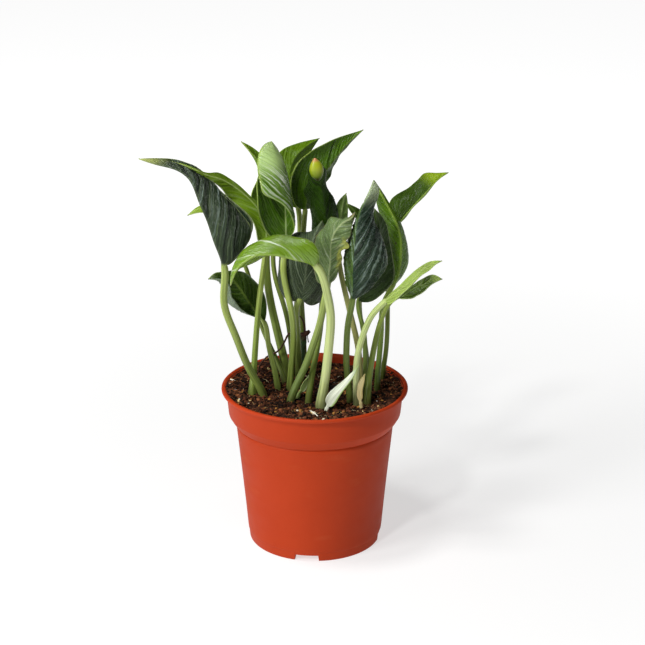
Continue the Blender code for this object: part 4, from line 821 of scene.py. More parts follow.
def leaf_material(name, plan):
    """Green flesh under clear wax, and the striped stalk below it."""
    look = {**LOOK, **plan}
    title = "waxy leaf " + name.removeprefix("leaf_").replace("_", " ")
    made, tree, shader = new_material(title, look["rough"])

    def field(key):
        """A number that the mesh keeps at each point."""
        return add(tree, "Attribute", out="Fac", attribute_name=key)

    plane = add(tree, "UVMap", uv_map="leaf_plane")
    place = add(tree, "SeparateXYZ", {0: plane}, None)
    from_rib = add(tree, "absolute", (place.outputs[0],))
    right = add(tree, "greater_than", (place.outputs[0], 0.0))
    here = add(tree, "TexCoord", out="Object")
    mottle = add(tree, "TexNoise", {"Vector": here, "Scale": MOTTLE_PER_METRE, "Detail": 3.0,
                                    "Roughness": 0.6})
    cells = add(tree, "TexVoronoi", {"Vector": here, "Scale": CELL_PER_METRE}, feature="SMOOTH_F1")

    # Side veins: lines a spacing apart that leave the rib at a slant and bend towards the tip
    bent = add(tree, "multiply", (add(tree, "multiply", (from_rib, from_rib)), 12.0))
    slanted = add(tree, "multiply_add", (from_rib, look["slant"], bent))
    spacing = look["spacing"] * MM
    turns = add(tree, "divide", (add(tree, "subtract", (place.outputs[1], slanted)), spacing))
    staggered = add(tree, "multiply_add", (right, 0.5, turns))
    unsteady = add(tree, "multiply_add", (mottle, 1.6, staggered))
    comb = add(tree, "pingpong", (unsteady, 0.5))
    vein = add(tree, "step", (comb, 0.01, VEIN_HALF, 1.0, 0.0))

    # Streaks: noise drawn out along the veins, quick across them and slow along them
    run = add(tree, "CombineXYZ", {0: add(tree, "multiply", (unsteady, 2.2)),
                                   1: add(tree, "multiply", (from_rib, 90.0)),
                                   2: add(tree, "multiply_add", (right, 7.0, look["seed"]))})
    streaks = add(tree, "TexNoise", {"Vector": run, "Scale": 1.0, "Detail": 3.0, "Roughness": 0.6})

    upper, under = linear(look["upper"]), linear(look["under"])
    if look["left_half"]:
        left = linear(look["left_half"])
        upper = add(tree, "mix", (right, left, upper))
        under = add(tree, "mix", (right, left, under))
    flesh = add(tree, "mix", (field("under"), upper, under))
    darker = add(tree, "mix", (0.6, flesh, linear("0a1404")))
    flesh = add(tree, "mix", (add(tree, "step", (mottle, 0.38, 0.75, 0.0, 0.4)), flesh, darker))
    flesh = add(tree, "mix", (add(tree, "step", (streaks, 0.5, 0.75, 0.0, look["streaks"])), flesh,
                              darker))
    paler = add(tree, "mix", (0.35, flesh, linear(look["vein"])))
    flesh = add(tree, "mix", (add(tree, "step", (streaks, 0.5, 0.25, 0.0, look["streaks"])), flesh,
                              paler))
    veined = add(tree, "mix", (add(tree, "multiply", (vein, look["vein_show"])), flesh,
                               linear(look["vein"])))
    if look["folds"]:
        wide = add(tree, "CombineXYZ", {0: add(tree, "multiply", (unsteady, 0.9)),
                                        1: add(tree, "multiply", (from_rib, 35.0)),
                                        2: add(tree, "multiply_add", (right, 3.0, look["seed"]))})
        folds = add(tree, "TexNoise", {"Vector": wide, "Scale": 1.0, "Detail": 1.5,
                                       "Distortion": 0.4})
        crease_shade, bloom, colour, upper_share = look["folds"]
        # Painted shade: the creases are darkened towards 0c140a
        veined = add(tree, "mix", (add(tree, "step", (folds, 0.5, 0.3, 0.0, crease_shade)), veined,
                                   linear("0c140a")))
        # Painted highlight: bloom is its share, laid in the pale colour on the ridges where the
        # wide noise and the streaks are both high
        painted_highlight = add(tree, "step", (folds, look["highlight_from"], 0.7, 0.0, bloom))
        lit = add(tree, "multiply", (painted_highlight, add(tree, "step", (streaks, 0.4, 0.6))))
        on_top = add(tree, "step", (field("under"), 0.0, 1.0, upper_share, 1.0))
        lit = add(tree, "multiply", (lit, on_top))
        veined = add(tree, "mix", (lit, veined, linear(colour)))
    flecks = add(tree, "TexNoise", {"Vector": here, "Scale": FLECK_PER_METRE, "Detail": 1.0})
    veined = add(tree, "mix", (add(tree, "step", (flecks, 0.64, 0.74, 0.0, 0.5 * look["grit"])),
                               veined, linear("a3b09c")))
    for across, along, size, colour in look["spots"]:
        apart = add(tree, "VectorMath", {0: plane, 1: (across * MM, along * MM, 0.0)}, "Value",
                    operation="DISTANCE")
        fray = add(tree, "multiply_add", (streaks, 2.2 * size * MM, apart))
        near = add(tree, "step", (fray, size * 1.7 * MM, size * 2.2 * MM, 0.85, 0.0))
        veined = add(tree, "mix", (near, veined, linear(colour)))
    if look["patch"]:
        start, end, colour = look["patch"]
        frayed = add(tree, "multiply_add", (streaks, 0.9, field("out")))
        edge = add(tree, "step", (frayed, 1.0, 1.2))
        span = add(tree, "step", (field("along"), start, start + 0.12))
        until = add(tree, "step", (field("along"), end, end + 0.12, 1.0, 0.0))
        here_left = add(tree, "subtract", (1.0, right))
        zone = add(tree, "multiply", (add(tree, "multiply", (edge, here_left)),
                                      add(tree, "multiply", (span, until))))
        veined = add(tree, "mix", (add(tree, "multiply", (zone, 0.85)), veined, linear(colour)))
    tip = add(tree, "step", (field("along"), look["tip_from"], min(1.0, look["tip_from"] + 0.2),
                             0.0, 0.9))
    coloured = add(tree, "mix", (tip, veined, linear(look["tip"])))
    rib = add(tree, "step", (from_rib, 0.2 * MM, 0.8 * MM, look["rib_show"], 0.0))
    ribbed = add(tree, "mix", (rib, coloured, linear(look["vein"])))
    rim = add(tree, "step", (field("out"), look["rim_from"], 1.0, 0.0, 0.8))
    rimmed = add(tree, "mix", (rim, ribbed, linear(look["margin"])))

    # The stalk: paler up towards the blade, with fine stripes along it
    run = add(tree, "CombineXYZ", {0: add(tree, "multiply", (field("turn"), 14.0)),
                                   1: add(tree, "multiply", (place.outputs[1], 25.0)),
                                   2: look["seed"]})
    stripes = add(tree, "TexNoise", {"Vector": run, "Scale": 1.0, "Detail": 2.0})
    stalk = add(tree, "mix", (add(tree, "step", (field("along"), -0.85, -0.1)),
                              linear(look["stalk"][0]), linear(look["stalk"][1])))
    deeper = add(tree, "mix", (0.5, stalk, linear("3a4a14")))
    striped = add(tree, "mix", (add(tree, "step", (stripes, 0.46, 0.66, 0.0, 0.8)), stalk, deeper))
    height = add(tree, "multiply_add", (mottle, 0.12, field("along")))
    soiled = add(tree, "step", (height, -0.96, -0.8, 0.75, 0.0))
    stained = add(tree, "mix", (soiled, striped, linear("45431f")))
    colour = add(tree, "mix", (add(tree, "step", (field("blade"), 0.25, 0.95)), stained, rimmed))

    gloss = add(tree, "step", (cells, 0.15, 0.6, look["rough"],
                               look["rough"] + 0.3 * look["grit"]))
    quilt = add(tree, "multiply", (add(tree, "power", (comb, 0.6)), look["quilt"]))
    height = add(tree, "multiply_add", (cells, 0.7 * look["grit"],
                                        add(tree, "multiply_add", (streaks, 1.7, quilt))))
    relief = add(tree, "multiply", (height, field("blade")))
    relief = add(tree, "multiply_add", (stripes, 0.3, relief))
    bump = add(tree, "Bump", {"Strength": 1.0, "Distance": 0.9 * MM, "Height": relief})
    give(shader, {"Base Color": colour, "Roughness": gloss, "Normal": bump,
                  "Specular IOR Level": look["shine"], "Subsurface Weight": 0.1,
                  "Subsurface Radius": (0.9, 1.0, 0.2), "Subsurface Scale": 0.8 * MM})
    return made


# %% Make the leaves
for name, plan in LEAVES.items():
    grid, fields, plane = leaf_rings(plan)
    mesh = wrap("fine_" + name, grid, fields, plane)
    mesh.materials.append(leaf_material(name, plan))
    new_object("fine_" + name, mesh, name)
print(len(LEAVES), "leaves of", len(mesh.polygons), "faces")

# %% [markdown]
# ## Dry sheaths
# Each new leaf leaves behind the thin sheath that wrapped it. It dries pale and papery, with
# fibres along it, so it takes the leaf's rings with no puckers and a matt finish
# that is streaked lengthwise. One edge and the tip dry last and keep their own colour.


# %% Sheaths
def sheath_material(name, plan):
    """Dry paper with fibres along it, and an edge and tip of their own colour."""
    made, tree, shader = new_material("papery " + name.replace("_", " "), 0.62)
    plane = add(tree, "UVMap", uv_map="leaf_plane")
    place = add(tree, "SeparateXYZ", {0: plane}, None)
    run = add(tree, "CombineXYZ", {0: add(tree, "multiply", (place.outputs[0], 2600.0)),
                                   1: add(tree, "multiply", (place.outputs[1], 90.0))})
    fibres = add(tree, "TexNoise", {"Vector": run, "Scale": 1.0})
    under = add(tree, "Attribute", out="Fac", attribute_name="under")
    sheet = add(tree, "mix", (under, linear(plan["upper"]), linear(plan["under"])))
    streaked = add(tree, "mix", (add(tree, "step", (fibres, 0.35, 0.75, 0.0, 0.5)), sheet,
                                 linear(plan["fibre"])))
    out = add(tree, "Attribute", out="Fac", attribute_name="out")
    along = add(tree, "Attribute", out="Fac", attribute_name="along")
    far_half = add(tree, "greater_than", (place.outputs[0], 0.0))
    edge = add(tree, "multiply", (far_half, add(tree, "step", (out, 0.5, 0.85, 0.0, 0.9))))
    tip = add(tree, "step", (along, 0.75, 0.98, 0.0, 0.9))
    skin = add(tree, "mix", (add(tree, "maximum", (edge, tip)), streaked, linear(plan["edge"])))
    bump = add(tree, "Bump", {"Strength": 0.5, "Distance": 0.3 * MM, "Height": fibres})
    give(shader, {"Base Color": skin, "Normal": bump})
    return made


for name, plan in SHEATHS.items():
    smooth_plan = {**plan, "pucker": 0.0, "wave": (0.2, 0.2), "waves": 3.0, "uneven": 0.2}
    grid, fields, plane = leaf_rings(smooth_plan, rows=(8, 40), half=10, depth=5.0)
    mesh = wrap("fine_" + name, grid, fields, plane)
    mesh.materials.append(sheath_material(name, plan))
    new_object("fine_" + name, mesh, name)
print(len(SHEATHS), "sheaths")

# %% [markdown]
# ## Rolled bud
# At the top of the rolled leaf the next leaf pokes out, still wound into a blunt
# yellow-green bud with a brown scar. A turned egg would look moulded, so its radius swells by
# a sine along its length and a low spiral ridge winds round it, as the rolled sheet does.

# %% Bud
BUD_FOOT, BUD_TIP = np.array([2.5, -3.4, 240.5]), np.array([0.2, -5.8, 256.0])
BUD_RADIUS = 4.4


def bud_grid(rows=40, around=48):
    """Radius = widest * sin(pi t)^0.8 * (1 + 0.03 * spiral), with t from the foot to the tip."""
    t = np.linspace(0.006, 0.994, rows)[:, None]
    turn = np.linspace(0.0, math.tau, around, endpoint=False)[None]
    axis = unit(BUD_TIP - BUD_FOOT)
    beside = unit(np.cross(axis, (0.0, 1.0, 0.0)))
    front = np.cross(axis, beside)
    radius = BUD_RADIUS * np.sin(math.pi * t**0.95) ** 0.8 * (1.0 + 0.03 * np.sin(turn + 5.0 * t))
    middle = BUD_FOOT + t[..., None] * (BUD_TIP - BUD_FOOT)
    ring = np.cos(turn)[..., None] * beside + 0.8 * np.sin(turn)[..., None] * front
    grid = middle + radius[..., None] * ring
    return grid, np.broadcast_to(t, grid.shape[:2])


grid, height = bud_grid()
bud_mesh = wrap("rolled_bud", grid, {"along": height})
wax, tree, shader = new_material("young waxy bud", 0.35)
along = add(tree, "Attribute", out="Fac", attribute_name="along")
here = add(tree, "TexCoord", out="Object")
mottle = add(tree, "TexNoise", {"Vector": here, "Scale": 300.0, "Detail": 2.0})
skin = add(tree, "mix", (add(tree, "step", (along, 0.05, 0.75)), linear("466206"),
                         linear("9aa31a")))
skin = add(tree, "mix", (add(tree, "step", (along, 0.12, 0.3, 0.85, 0.0)), skin, linear("2a2410")))
skin = add(tree, "mix", (add(tree, "step", (mottle, 0.4, 0.7, 0.0, 0.35)), skin, linear("6f8f10")))
scarred = add(tree, "mix", (add(tree, "step", (add(tree, "multiply_add", (mottle, 0.08, along)),
                                               0.84, 0.98)), skin, linear("b0764a")))
give(shader, {"Base Color": scarred})
bud_mesh.materials.append(wax)
new_object("rolled_bud", bud_mesh)
print("bud", len(bud_mesh.polygons), "faces")

# %% [markdown]
# ## Old stem and its roots
# Behind the leaves a dead stub stands with a broken top. A thin root arches from it to
# the soil, another curls up, and a torn flap with a shred hangs from its top. They are rods
# along routes, with knots and a rough bark drawn into the radius. A curve with a bevel would be
# as round and even as wire.

# %% Old stem
STUB = [(-8, 25, 92), (-8, 25, 101), (-8.5, 24, 111), (-8, 23, 123.5), (-7.5, 22, 131.7)]
STUB_WIDTHS = (1.0, 1.0, 0.9, 0.8, 0.85, 1.3, 1.1)
AIR_ROOT = [(-7.9, 22.3, 128.5), (-12, 16, 134), (-16.5, 10, 136), (-20.5, 9.5, 128.5),
            (-24.5, 10, 123.5), (-29, 12, 120.5), (-33, 20, 114.5), (-37, 28, 105), (-38, 30, 94)]
CURLED_ROOT = [(-7.6, 22.1, 129.5), (-6.5, 20.5, 136), (-7.5, 20, 141), (-9.5, 20, 144.5)]
TORN_FLAP = [(-7.4, 21.3, 130.0), (-5.2, 20.2, 132.6), (-3.6, 19.5, 134.2)]
HANGING_SHRED = [(-4.9, 20.2, 132.2), (-4.6, 20.0, 129.4), (-4.2, 19.7, 126.6)]


def rod_grid(points, radius, rows, around, rough, widths, seed):
    """A rod along a route: radius * widths, times 1 + rough * sum of sines along and around."""
    line = Route(points)
    t = np.linspace(0.0, 1.0, rows)
    middles, headings = line.at(t * line.length), line.heading(t * line.length)
    across = unit(np.cross(headings, (0.3, 1.0, 0.1)))
    beside = np.cross(headings, across)
    turn = np.linspace(0.0, math.tau, around, endpoint=False)[None]
    s = t[:, None] * line.length
    bark = (np.sin(1.9 * s + seed) + np.sin(3.0 * turn + 0.7 * s)
            + np.sin(5.0 * turn - 1.1 * s + seed)
            + 1.5 * np.sin(0.55 * s + 2.0 * seed))
    swell = radius * by_run(widths, t)[:, None] * (1.0 + rough * bark)
    ring = np.cos(turn)[..., None] * across[:, None] + np.sin(turn)[..., None] * beside[:, None]
    return middles[:, None] + swell[..., None] * ring


def join(name, grids):
    """Several closed rods in one mesh."""
    parts = [wrap(name + "_part", grid) for grid in grids]
    joined = bpy.data.meshes.new(name)
    sheet = bmesh.new()
    for part in parts:
        sheet.from_mesh(part)
        bpy.data.meshes.remove(part)
    sheet.to_mesh(joined)
    sheet.free()
    joined.shade_smooth()
    return joined


old_mesh = join("fine_old_stem", [
    rod_grid(STUB, 1.9, 60, 28, 0.045, STUB_WIDTHS, 0.3),
    rod_grid(AIR_ROOT, 0.62, 150, 10, 0.06, (1.0, 0.75), 1.1),
    rod_grid(CURLED_ROOT, 0.7, 40, 10, 0.07, (1.0, 0.7), 2.2),
    rod_grid(TORN_FLAP, 1.4, 24, 12, 0.08, (0.7, 1.2, 1.0), 0.9),
    rod_grid(HANGING_SHRED, 0.42, 24, 8, 0.1, (1.0, 0.8, 1.3), 1.7)])
bark, tree, shader = new_material("dead stem bark", 0.8)
here = add(tree, "TexCoord", out="Object")
flakes = add(tree, "TexNoise", {"Vector": here, "Scale": 420.0, "Detail": 4.0})
height = add(tree, "SeparateXYZ", {0: here}, 2)
green = add(tree, "step", (add(tree, "multiply_add", (flakes, 0.012, height)), 0.131, 0.137, 1.0,
                           0.0))
stub = add(tree, "step", (add(tree, "SeparateXYZ", {0: here}), -0.0115, -0.0108))
low = add(tree, "mix", (add(tree, "multiply", (green, stub)), linear("482718"), linear("2c4a20")))
coloured = add(tree, "mix", (add(tree, "step", (flakes, 0.4, 0.65, 0.0, 0.5)), low,
                             linear("1c140c")))
bump = add(tree, "Bump", {"Strength": 0.6, "Distance": 0.4 * MM, "Height": flakes})
give(shader, {"Base Color": coloured, "Normal": bump})
old_mesh.materials.append(bark)
new_object("fine_old_stem", old_mesh, "old_stem")
print("old stem", len(old_mesh.polygons), "faces")

# %% [markdown]
# ## The pot: moulded polypropylene
# A nursery pot is blown or injected from polypropylene a millimetre thick. Its form is one
# profile turned round an axis, so it is drawn as radius and height against angle. The foot
# ring is lifted in four places for the water to leave. Lifting the ring's lower points there
# keeps the skin closed, which a cut with a box would need a Boolean for.

# %% Pot shape
FOOT, WALL = 43.0, 1.1            # radius of the foot, and thickness
NOTCH_WIDTH, NOTCH_HEIGHT, NOTCH_TURN = 15.5, 4.0, math.radians(-97.0)
PAD = 14.0                        # radius of the flat middle of the base
SOIL_EDGE = 99.9


def inside_radius(height):
    """Radius inside the pot: straight pieces between four heights, less the wall."""
    return np.interp(height, [3.6, 81.4, 87.7, 104.6], [43.2, 51.1, 55.4, 57.1]) - WALL


def pot_profile():
    """Points (radius, height): from the middle of the underside, up outside and down inside."""
    foot = [(0.4, 0), (PAD - 0.4, 0), (PAD, 0.15), (PAD + 2.3, 3.4), (PAD + 2.8, 3.6), (38.0, 3.6),
            (38.6, 3.4), (40.3, 0.25), (40.6, 0.0), (42.3, 0.0), (42.7, 0.15), (42.95, 0.5),
            (43.05, 0.9)]
    wall = [(43.5, 5.7), (43.55, 6.0), (43.78, 6.25), (43.85, 6.5), (44.2, 10.0), (45.4, 24.0),
            (47.3, 44.0),
            (49.2, 63.0), (50.6, 77.0), (50.85, 79.5), (50.6, 79.9), (50.4, 80.4), (50.45, 80.95),
            (51.6, 81.15), (51.8, 81.3), (52.3, 81.95), (53.7, 84.0), (54.9, 86.2), (55.35, 86.8),
            (55.55, 87.6), (56.1, 93.0), (56.8, 101.3), (56.95, 101.9)]
    lip = [(57.3, 102.2), (59.2, 102.35), (59.7, 102.5), (59.95, 102.95), (60.0, 103.5),
           (59.9, 104.1),
           (59.5, 104.5), (58.9, 104.6), (58.2, 104.6), (57.8, 104.5), (57.45, 104.2),
           (56.4, 103.1)]
    inner = [(55.9, 102.3), (54.5, 88.2), (54.2, 87.3), (50.3, 82.0), (49.9, 81.0), (46.0, 44.0),
             (42.3, 6.0), (41.6, 5.0), (40.9, 4.8), (17.4, 4.8), (14.9, 1.4), (14.4, 1.2),
             (0.4, 1.2)]
    return np.array(foot + wall + lip + inner)


def notch_angles(count=300):
    """Even angles with extra ones at the notches' edges, so that those edges are crisp."""
    half = NOTCH_WIDTH / 2.0 / FOOT
    edges = np.array([NOTCH_TURN + k * math.tau / 4.0 + side * half + step_by
                      for k in range(4) for side in (-1.0, 1.0)
                      for step_by in (-0.016, -0.008, -0.003, 0.0, 0.003, 0.008, 0.016)])
    even = np.linspace(0.0, math.tau, count, endpoint=False)
    return np.unique(np.round(np.mod(np.concatenate([even, edges]), math.tau), 5))


def pot_grid():
    """Point = (radius cos a, radius sin a, height), with the foot ring's low points raised to the
    notch's height where a is within half a notch of its middle."""
    profile, turn = pot_profile(), notch_angles()
    apart = np.abs(np.mod(turn - NOTCH_TURN + math.pi / 4.0, math.pi / 2.0) - math.pi / 4.0)
    inside = ease((NOTCH_WIDTH / 2.0 / FOOT + 0.009 - apart) / 0.018)
    radius, height = profile[:, :1], profile[:, 1:]
    ring = (radius > 38.3) & (radius < 43.49)
    raised = np.where(ring & (height < NOTCH_HEIGHT + 0.1),
                      np.maximum(height, NOTCH_HEIGHT * inside), height)
    return np.stack([radius * np.cos(turn), radius * np.sin(turn), raised + 0.0 * turn], axis=-1)


DRAINS, DRAIN_RADIUS, DRAIN_CIRCLE = 8, 3.2, 27.5
pot_mesh = wrap("fine_pot", pot_grid())
pot = new_object("fine_pot", pot_mesh, "pot")


def drain_grid(turn):
    """One drain's cutter: a short rod across the base plate."""
    middle = np.array([DRAIN_CIRCLE * math.cos(turn), DRAIN_CIRCLE * math.sin(turn), 0.0])
    around = np.linspace(0.0, math.tau, 32, endpoint=False)
    circle = np.stack([np.cos(around), np.sin(around), 0.0 * around], -1) * DRAIN_RADIUS
    return np.stack([middle + circle + (0.0, 0.0, 2.0), middle + circle + (0.0, 0.0, 7.0)])


drill = bpy.data.objects.new("drill", join("drill", [drain_grid((i + 0.5) * math.tau / DRAINS)
                                                     for i in range(DRAINS)]))
bpy.context.scene.collection.objects.link(drill)
drilled = pot.modifiers.new("drains", "BOOLEAN")
drilled.object, drilled.operation, drilled.solver = drill, "DIFFERENCE", "EXACT"
graph = bpy.context.evaluated_depsgraph_get()
finished = bpy.data.meshes.new_from_object(pot.evaluated_get(graph))
pot.modifiers.remove(drilled)
bpy.data.objects.remove(drill)
pot.data = finished
finished.shade_smooth()
finished.set_sharp_from_angle(angle=math.radians(38.0))
print("pot", len(finished.polygons), "faces")

# %% [markdown]
# The plastic is a terracotta red that is dyed right through. Moulding leaves it satin, with a fine
# bloom and a few scuffs that are duller than the rest. A flat red would look like paint.

# %% Pot material
plastic, tree, shader = new_material("moulded polypropylene", 0.42, 1.49)
here = add(tree, "TexCoord", out="Object")
bloom = add(tree, "TexNoise", {"Vector": here, "Scale": 22.0, "Detail": 5.0, "Roughness": 0.65})
scuff = add(tree, "TexNoise", {"Vector": add(tree, "Mapping", {0: here, 3: (40.0, 40.0, 90.0)}),
                               "Scale": 1.0, "Detail": 6.0})
fine = add(tree, "TexNoise", {"Vector": here, "Scale": 900.0, "Detail": 2.0})
dyed = add(tree, "mix", (add(tree, "step", (bloom, 0.3, 0.75, 0.0, 0.5)), linear("b03914"),
                         linear("a4320e")))
dusty = add(tree, "mix", (add(tree, "step", (scuff, 0.58, 0.8, 0.0, 0.18)), dyed,
                          linear("bf6a48")))
satin = add(tree, "step", (scuff, 0.4, 0.8, 0.55, 0.7))
bump = add(tree, "Bump", {"Strength": 0.12, "Distance": 0.1 * MM, "Height": fine})
give(shader, {"Base Color": dusty, "Roughness": satin, "Normal": bump, "Specular IOR Level": 0.14,
              "Subsurface Weight": 0.03, "Subsurface Radius": (1.0, 0.3, 0.15),
              "Subsurface Scale": 1.0 * MM})
finished.materials.clear()
finished.materials.append(plastic)

# %% [markdown]
# ## Soil: coco peat
# Potting soil for house plants is ground coconut husk: dark crumbs of one to three
# millimetres, with lighter chips and loose fibres on top. A bump map alone would stay flat at
# the edges, so the ground is a relief of noise, and crumbs and fibres are scattered on it
# as real pieces, each with a few dozen faces.


# %% Ground
SIDE_RISE, SIDE_START = 2.6, 28.0
MOUND_HEIGHT, MOUND_PLACE, MOUND_SPREAD = 2.4, (-10.0, 10.0), 26.0
BANK_HEIGHT, BANK_PLACE, BANK_SPREAD = 4.6, (-29.0, 43.0), 11.0
BANK_TURN, BANK_TURN_SPREAD = 2.13, 0.33
BEVEL_RADII, BEVEL_HEIGHTS = [55.4, 55.9, 57.4], [90.0, 102.5, 104.2]
LAP_REACH = 1.9             # of the soil onto the bevel, in millimetres


def hill(x, y, place, spread):
    """A bell over a place: e to the power of minus the distance squared over 2 spread squared."""
    return np.exp(-((x - place[0]) ** 2 + (y - place[1]) ** 2) / (2.0 * spread ** 2))


def soil_height(x, y):
    """Tilt to the front, a mound round the stems, a rise at both sides and low lumps."""
    mound = hill(x, y, MOUND_PLACE, MOUND_SPREAD)
    lumps = np.sin(0.37 * x + 1.3) * np.sin(0.41 * y) + np.sin(0.19 * x - 0.23 * y)
    edge = inside_radius(SOIL_EDGE)
    sides = SIDE_RISE * ease((np.abs(x) - SIDE_START) / (edge - SIDE_START))
    return SOIL_EDGE - 1.3 * y / edge + MOUND_HEIGHT * mound + 0.45 * lumps + sides


LATTICE = np.random.default_rng(7).random((256, 256))


def noise(x, y, size):
    """Smooth noise, 0 to 1: random numbers on a square lattice, eased between its corners."""
    x, y = x / size + 90.0, y / size + 90.0
    i, j = np.floor(x).astype(int), np.floor(y).astype(int)
    u, v = ease(x - i), ease(y - j)
    low = LATTICE[i % 256, j % 256] * (1 - u) + LATTICE[(i + 1) % 256, j % 256] * u
    high = LATTICE[i % 256, (j + 1) % 256] * (1 - u) + LATTICE[(i + 1) % 256, (j + 1) % 256] * u
    return low * (1 - v) + high * v


def crumbly(x, y):
    """Relief of crumbs: three sizes of noise, each folded at its middle so that it has creases,
    on a low bank at the back left where the soil was thrown up against the wall."""
    folds = [1.0 - np.abs(2.0 * noise(x + 17.0 * k, y - 9.0 * k, size) - 1.0)
             for k, size in enumerate((5.5, 2.7, 1.3))]
    bank = BANK_HEIGHT * hill(x, y, BANK_PLACE, BANK_SPREAD)
    return 1.5 * folds[0] + 0.9 * folds[1] + 0.6 * folds[2] - 1.6 + bank


def lap(turn):
    """Share of a turn at which the soil laps onto the lip's bevel: one at the sides and on the
    bank at the back left."""
    bank = np.exp(-((turn - BANK_TURN) / BANK_TURN_SPREAD) ** 2)
    return np.maximum(ease((np.abs(np.cos(turn)) - 0.45) / 0.35), bank)


def on_soil(radius, turn):
    """Points on the soil: its height with its relief, or the bevel's where that is higher."""
    x, y = radius * np.cos(turn), radius * np.sin(turn)
    bevel = np.interp(radius, BEVEL_RADII, BEVEL_HEIGHTS)
    return np.stack([x, y, np.maximum(soil_height(x, y) + crumbly(x, y), bevel)], -1)


def ground_grid():
    """Rings from the middle of the top out to the wall, then down the wall and in over the base.
    At the sides the outer rings lie on the bevel inside the lip."""
    turn = np.linspace(0.0, math.tau, 360, endpoint=False)[None]
    reach = float(inside_radius(SOIL_EDGE)) - 0.3 + LAP_REACH * lap(turn)
    top = on_soil(np.linspace(0.006, 1.0, 120)[:, None] * reach, turn)
    side = np.array([(55.3, 98.0), (53.9, 87.6), (49.6, 81.0), (41.6, 6.0), (40.6, 5.2),
                     (17.5, 5.2),
                     (14.6, 1.6), (0.5, 1.6)])
    wall = np.stack([side[:, :1] * np.cos(turn), side[:, :1] * np.sin(turn),
                     side[:, 1:] + 0.0 * turn], -1)
    return np.concatenate([top, wall])


ground_mesh = wrap("fine_soil", ground_grid())
new_object("fine_soil", ground_mesh, "soil")
print("ground", len(ground_mesh.polygons), "faces")

# %% [markdown]
# ## Loose crumbs, fibres and slivers
# Coco peat breaks into lumps of every size, with far more small ones, so sizes are drawn to
# a power. A texture of crumbs would show no edges against the light, so each is a real lump.

# %% Crumbs
draw = np.random.default_rng(23)
LAP_SHARE = 0.055           # how much further out the crumbs lie where the soil laps


def scatter(count, edge=53.5):
    """Even places on the soil's disc: radius by the square root of an even draw."""
    radius, turn = edge * np.sqrt(draw.random(count)), math.tau * draw.random(count)
    return on_soil(radius * (1.0 + LAP_SHARE * lap(turn)), turn)


def crumbs_mesh(name, count, smallest, largest, flat):
    """Lumps on a small grid of rings: each ring point is moved by a random share of the size, and
    the whole lump is turned at random. Every lump carries one number, its tone."""
    rows, around = 4, 7
    polar = (np.arange(rows) + 0.6) / (rows + 0.2) * math.pi
    turn = np.arange(around) / around * math.tau
    ball = np.stack([np.sin(polar)[:, None] * np.cos(turn), np.sin(polar)[:, None] * np.sin(turn),
                     np.cos(polar)[:, None] + 0.0 * turn], -1).reshape(-1, 3)
    ball = np.vstack([ball, (0, 0, 1), (0, 0, -1)])
    size = smallest + (largest - smallest) * draw.random(count) ** 2.5
    stretch = np.stack([0.8 + 0.8 * draw.random(count), 0.7 + 0.4 * draw.random(count),
                        flat + 0.3 * draw.random(count)], -1) * size[:, None]
    lumps = ball[None] * (0.7 + 0.5 * draw.random((count, len(ball), 1))) * stretch[:, None]
    a, b = math.tau * draw.random(count), 0.9 * (draw.random(count) - 0.5)
    tilt = np.stack([np.stack([np.cos(b), 0 * b, np.sin(b)], -1),
                     np.stack([0 * b, 0 * b + 1, 0 * b], -1),
                     np.stack([-np.sin(b), 0 * b, np.cos(b)], -1)], 1)
    spin = np.stack([np.stack([np.cos(a), -np.sin(a), 0 * a], -1),
                     np.stack([np.sin(a), np.cos(a), 0 * a], -1),
                     np.stack([0 * a, 0 * a, 0 * a + 1], -1)], 1)
    lumps = np.einsum("nij,nkj->nki", spin @ tilt, lumps) + scatter(count)[:, None]
    lumps[..., 2] += 0.2 * size[:, None]
    index = np.arange(rows * around).reshape(rows, around)
    low, high = index[:-1], index[1:]
    quads = np.stack([low, high, np.roll(high, -1, 1), np.roll(low, -1, 1)], -1).reshape(-1, 4)
    top = np.stack([index[0], np.roll(index[0], -1), np.full(around, rows * around)], -1)
    foot = np.stack([np.roll(index[-1], -1), index[-1], np.full(around, rows * around + 1)], -1)
    start = (np.arange(count) * len(ball))[:, None, None]
    tone = np.repeat(draw.random(count), len(ball))
    return make_mesh(name, lumps.reshape(-1, 3), (quads[None] + start).reshape(-1, 4),
                     (np.vstack([top, foot])[None] + start).reshape(-1, 3), {"tone": tone},
                     smooth=False)


crumb_mesh = crumbs_mesh("soil_crumbs", 3400, 0.35, 1.6, 0.45)
new_object("soil_crumbs", crumb_mesh)
print("crumbs", len(crumb_mesh.polygons), "faces")

# %% [markdown]
# The husk's fibres come loose and lie on top in slight bends. Hair would not be part of the
# exported model, so each strand is a thin three-sided skin.


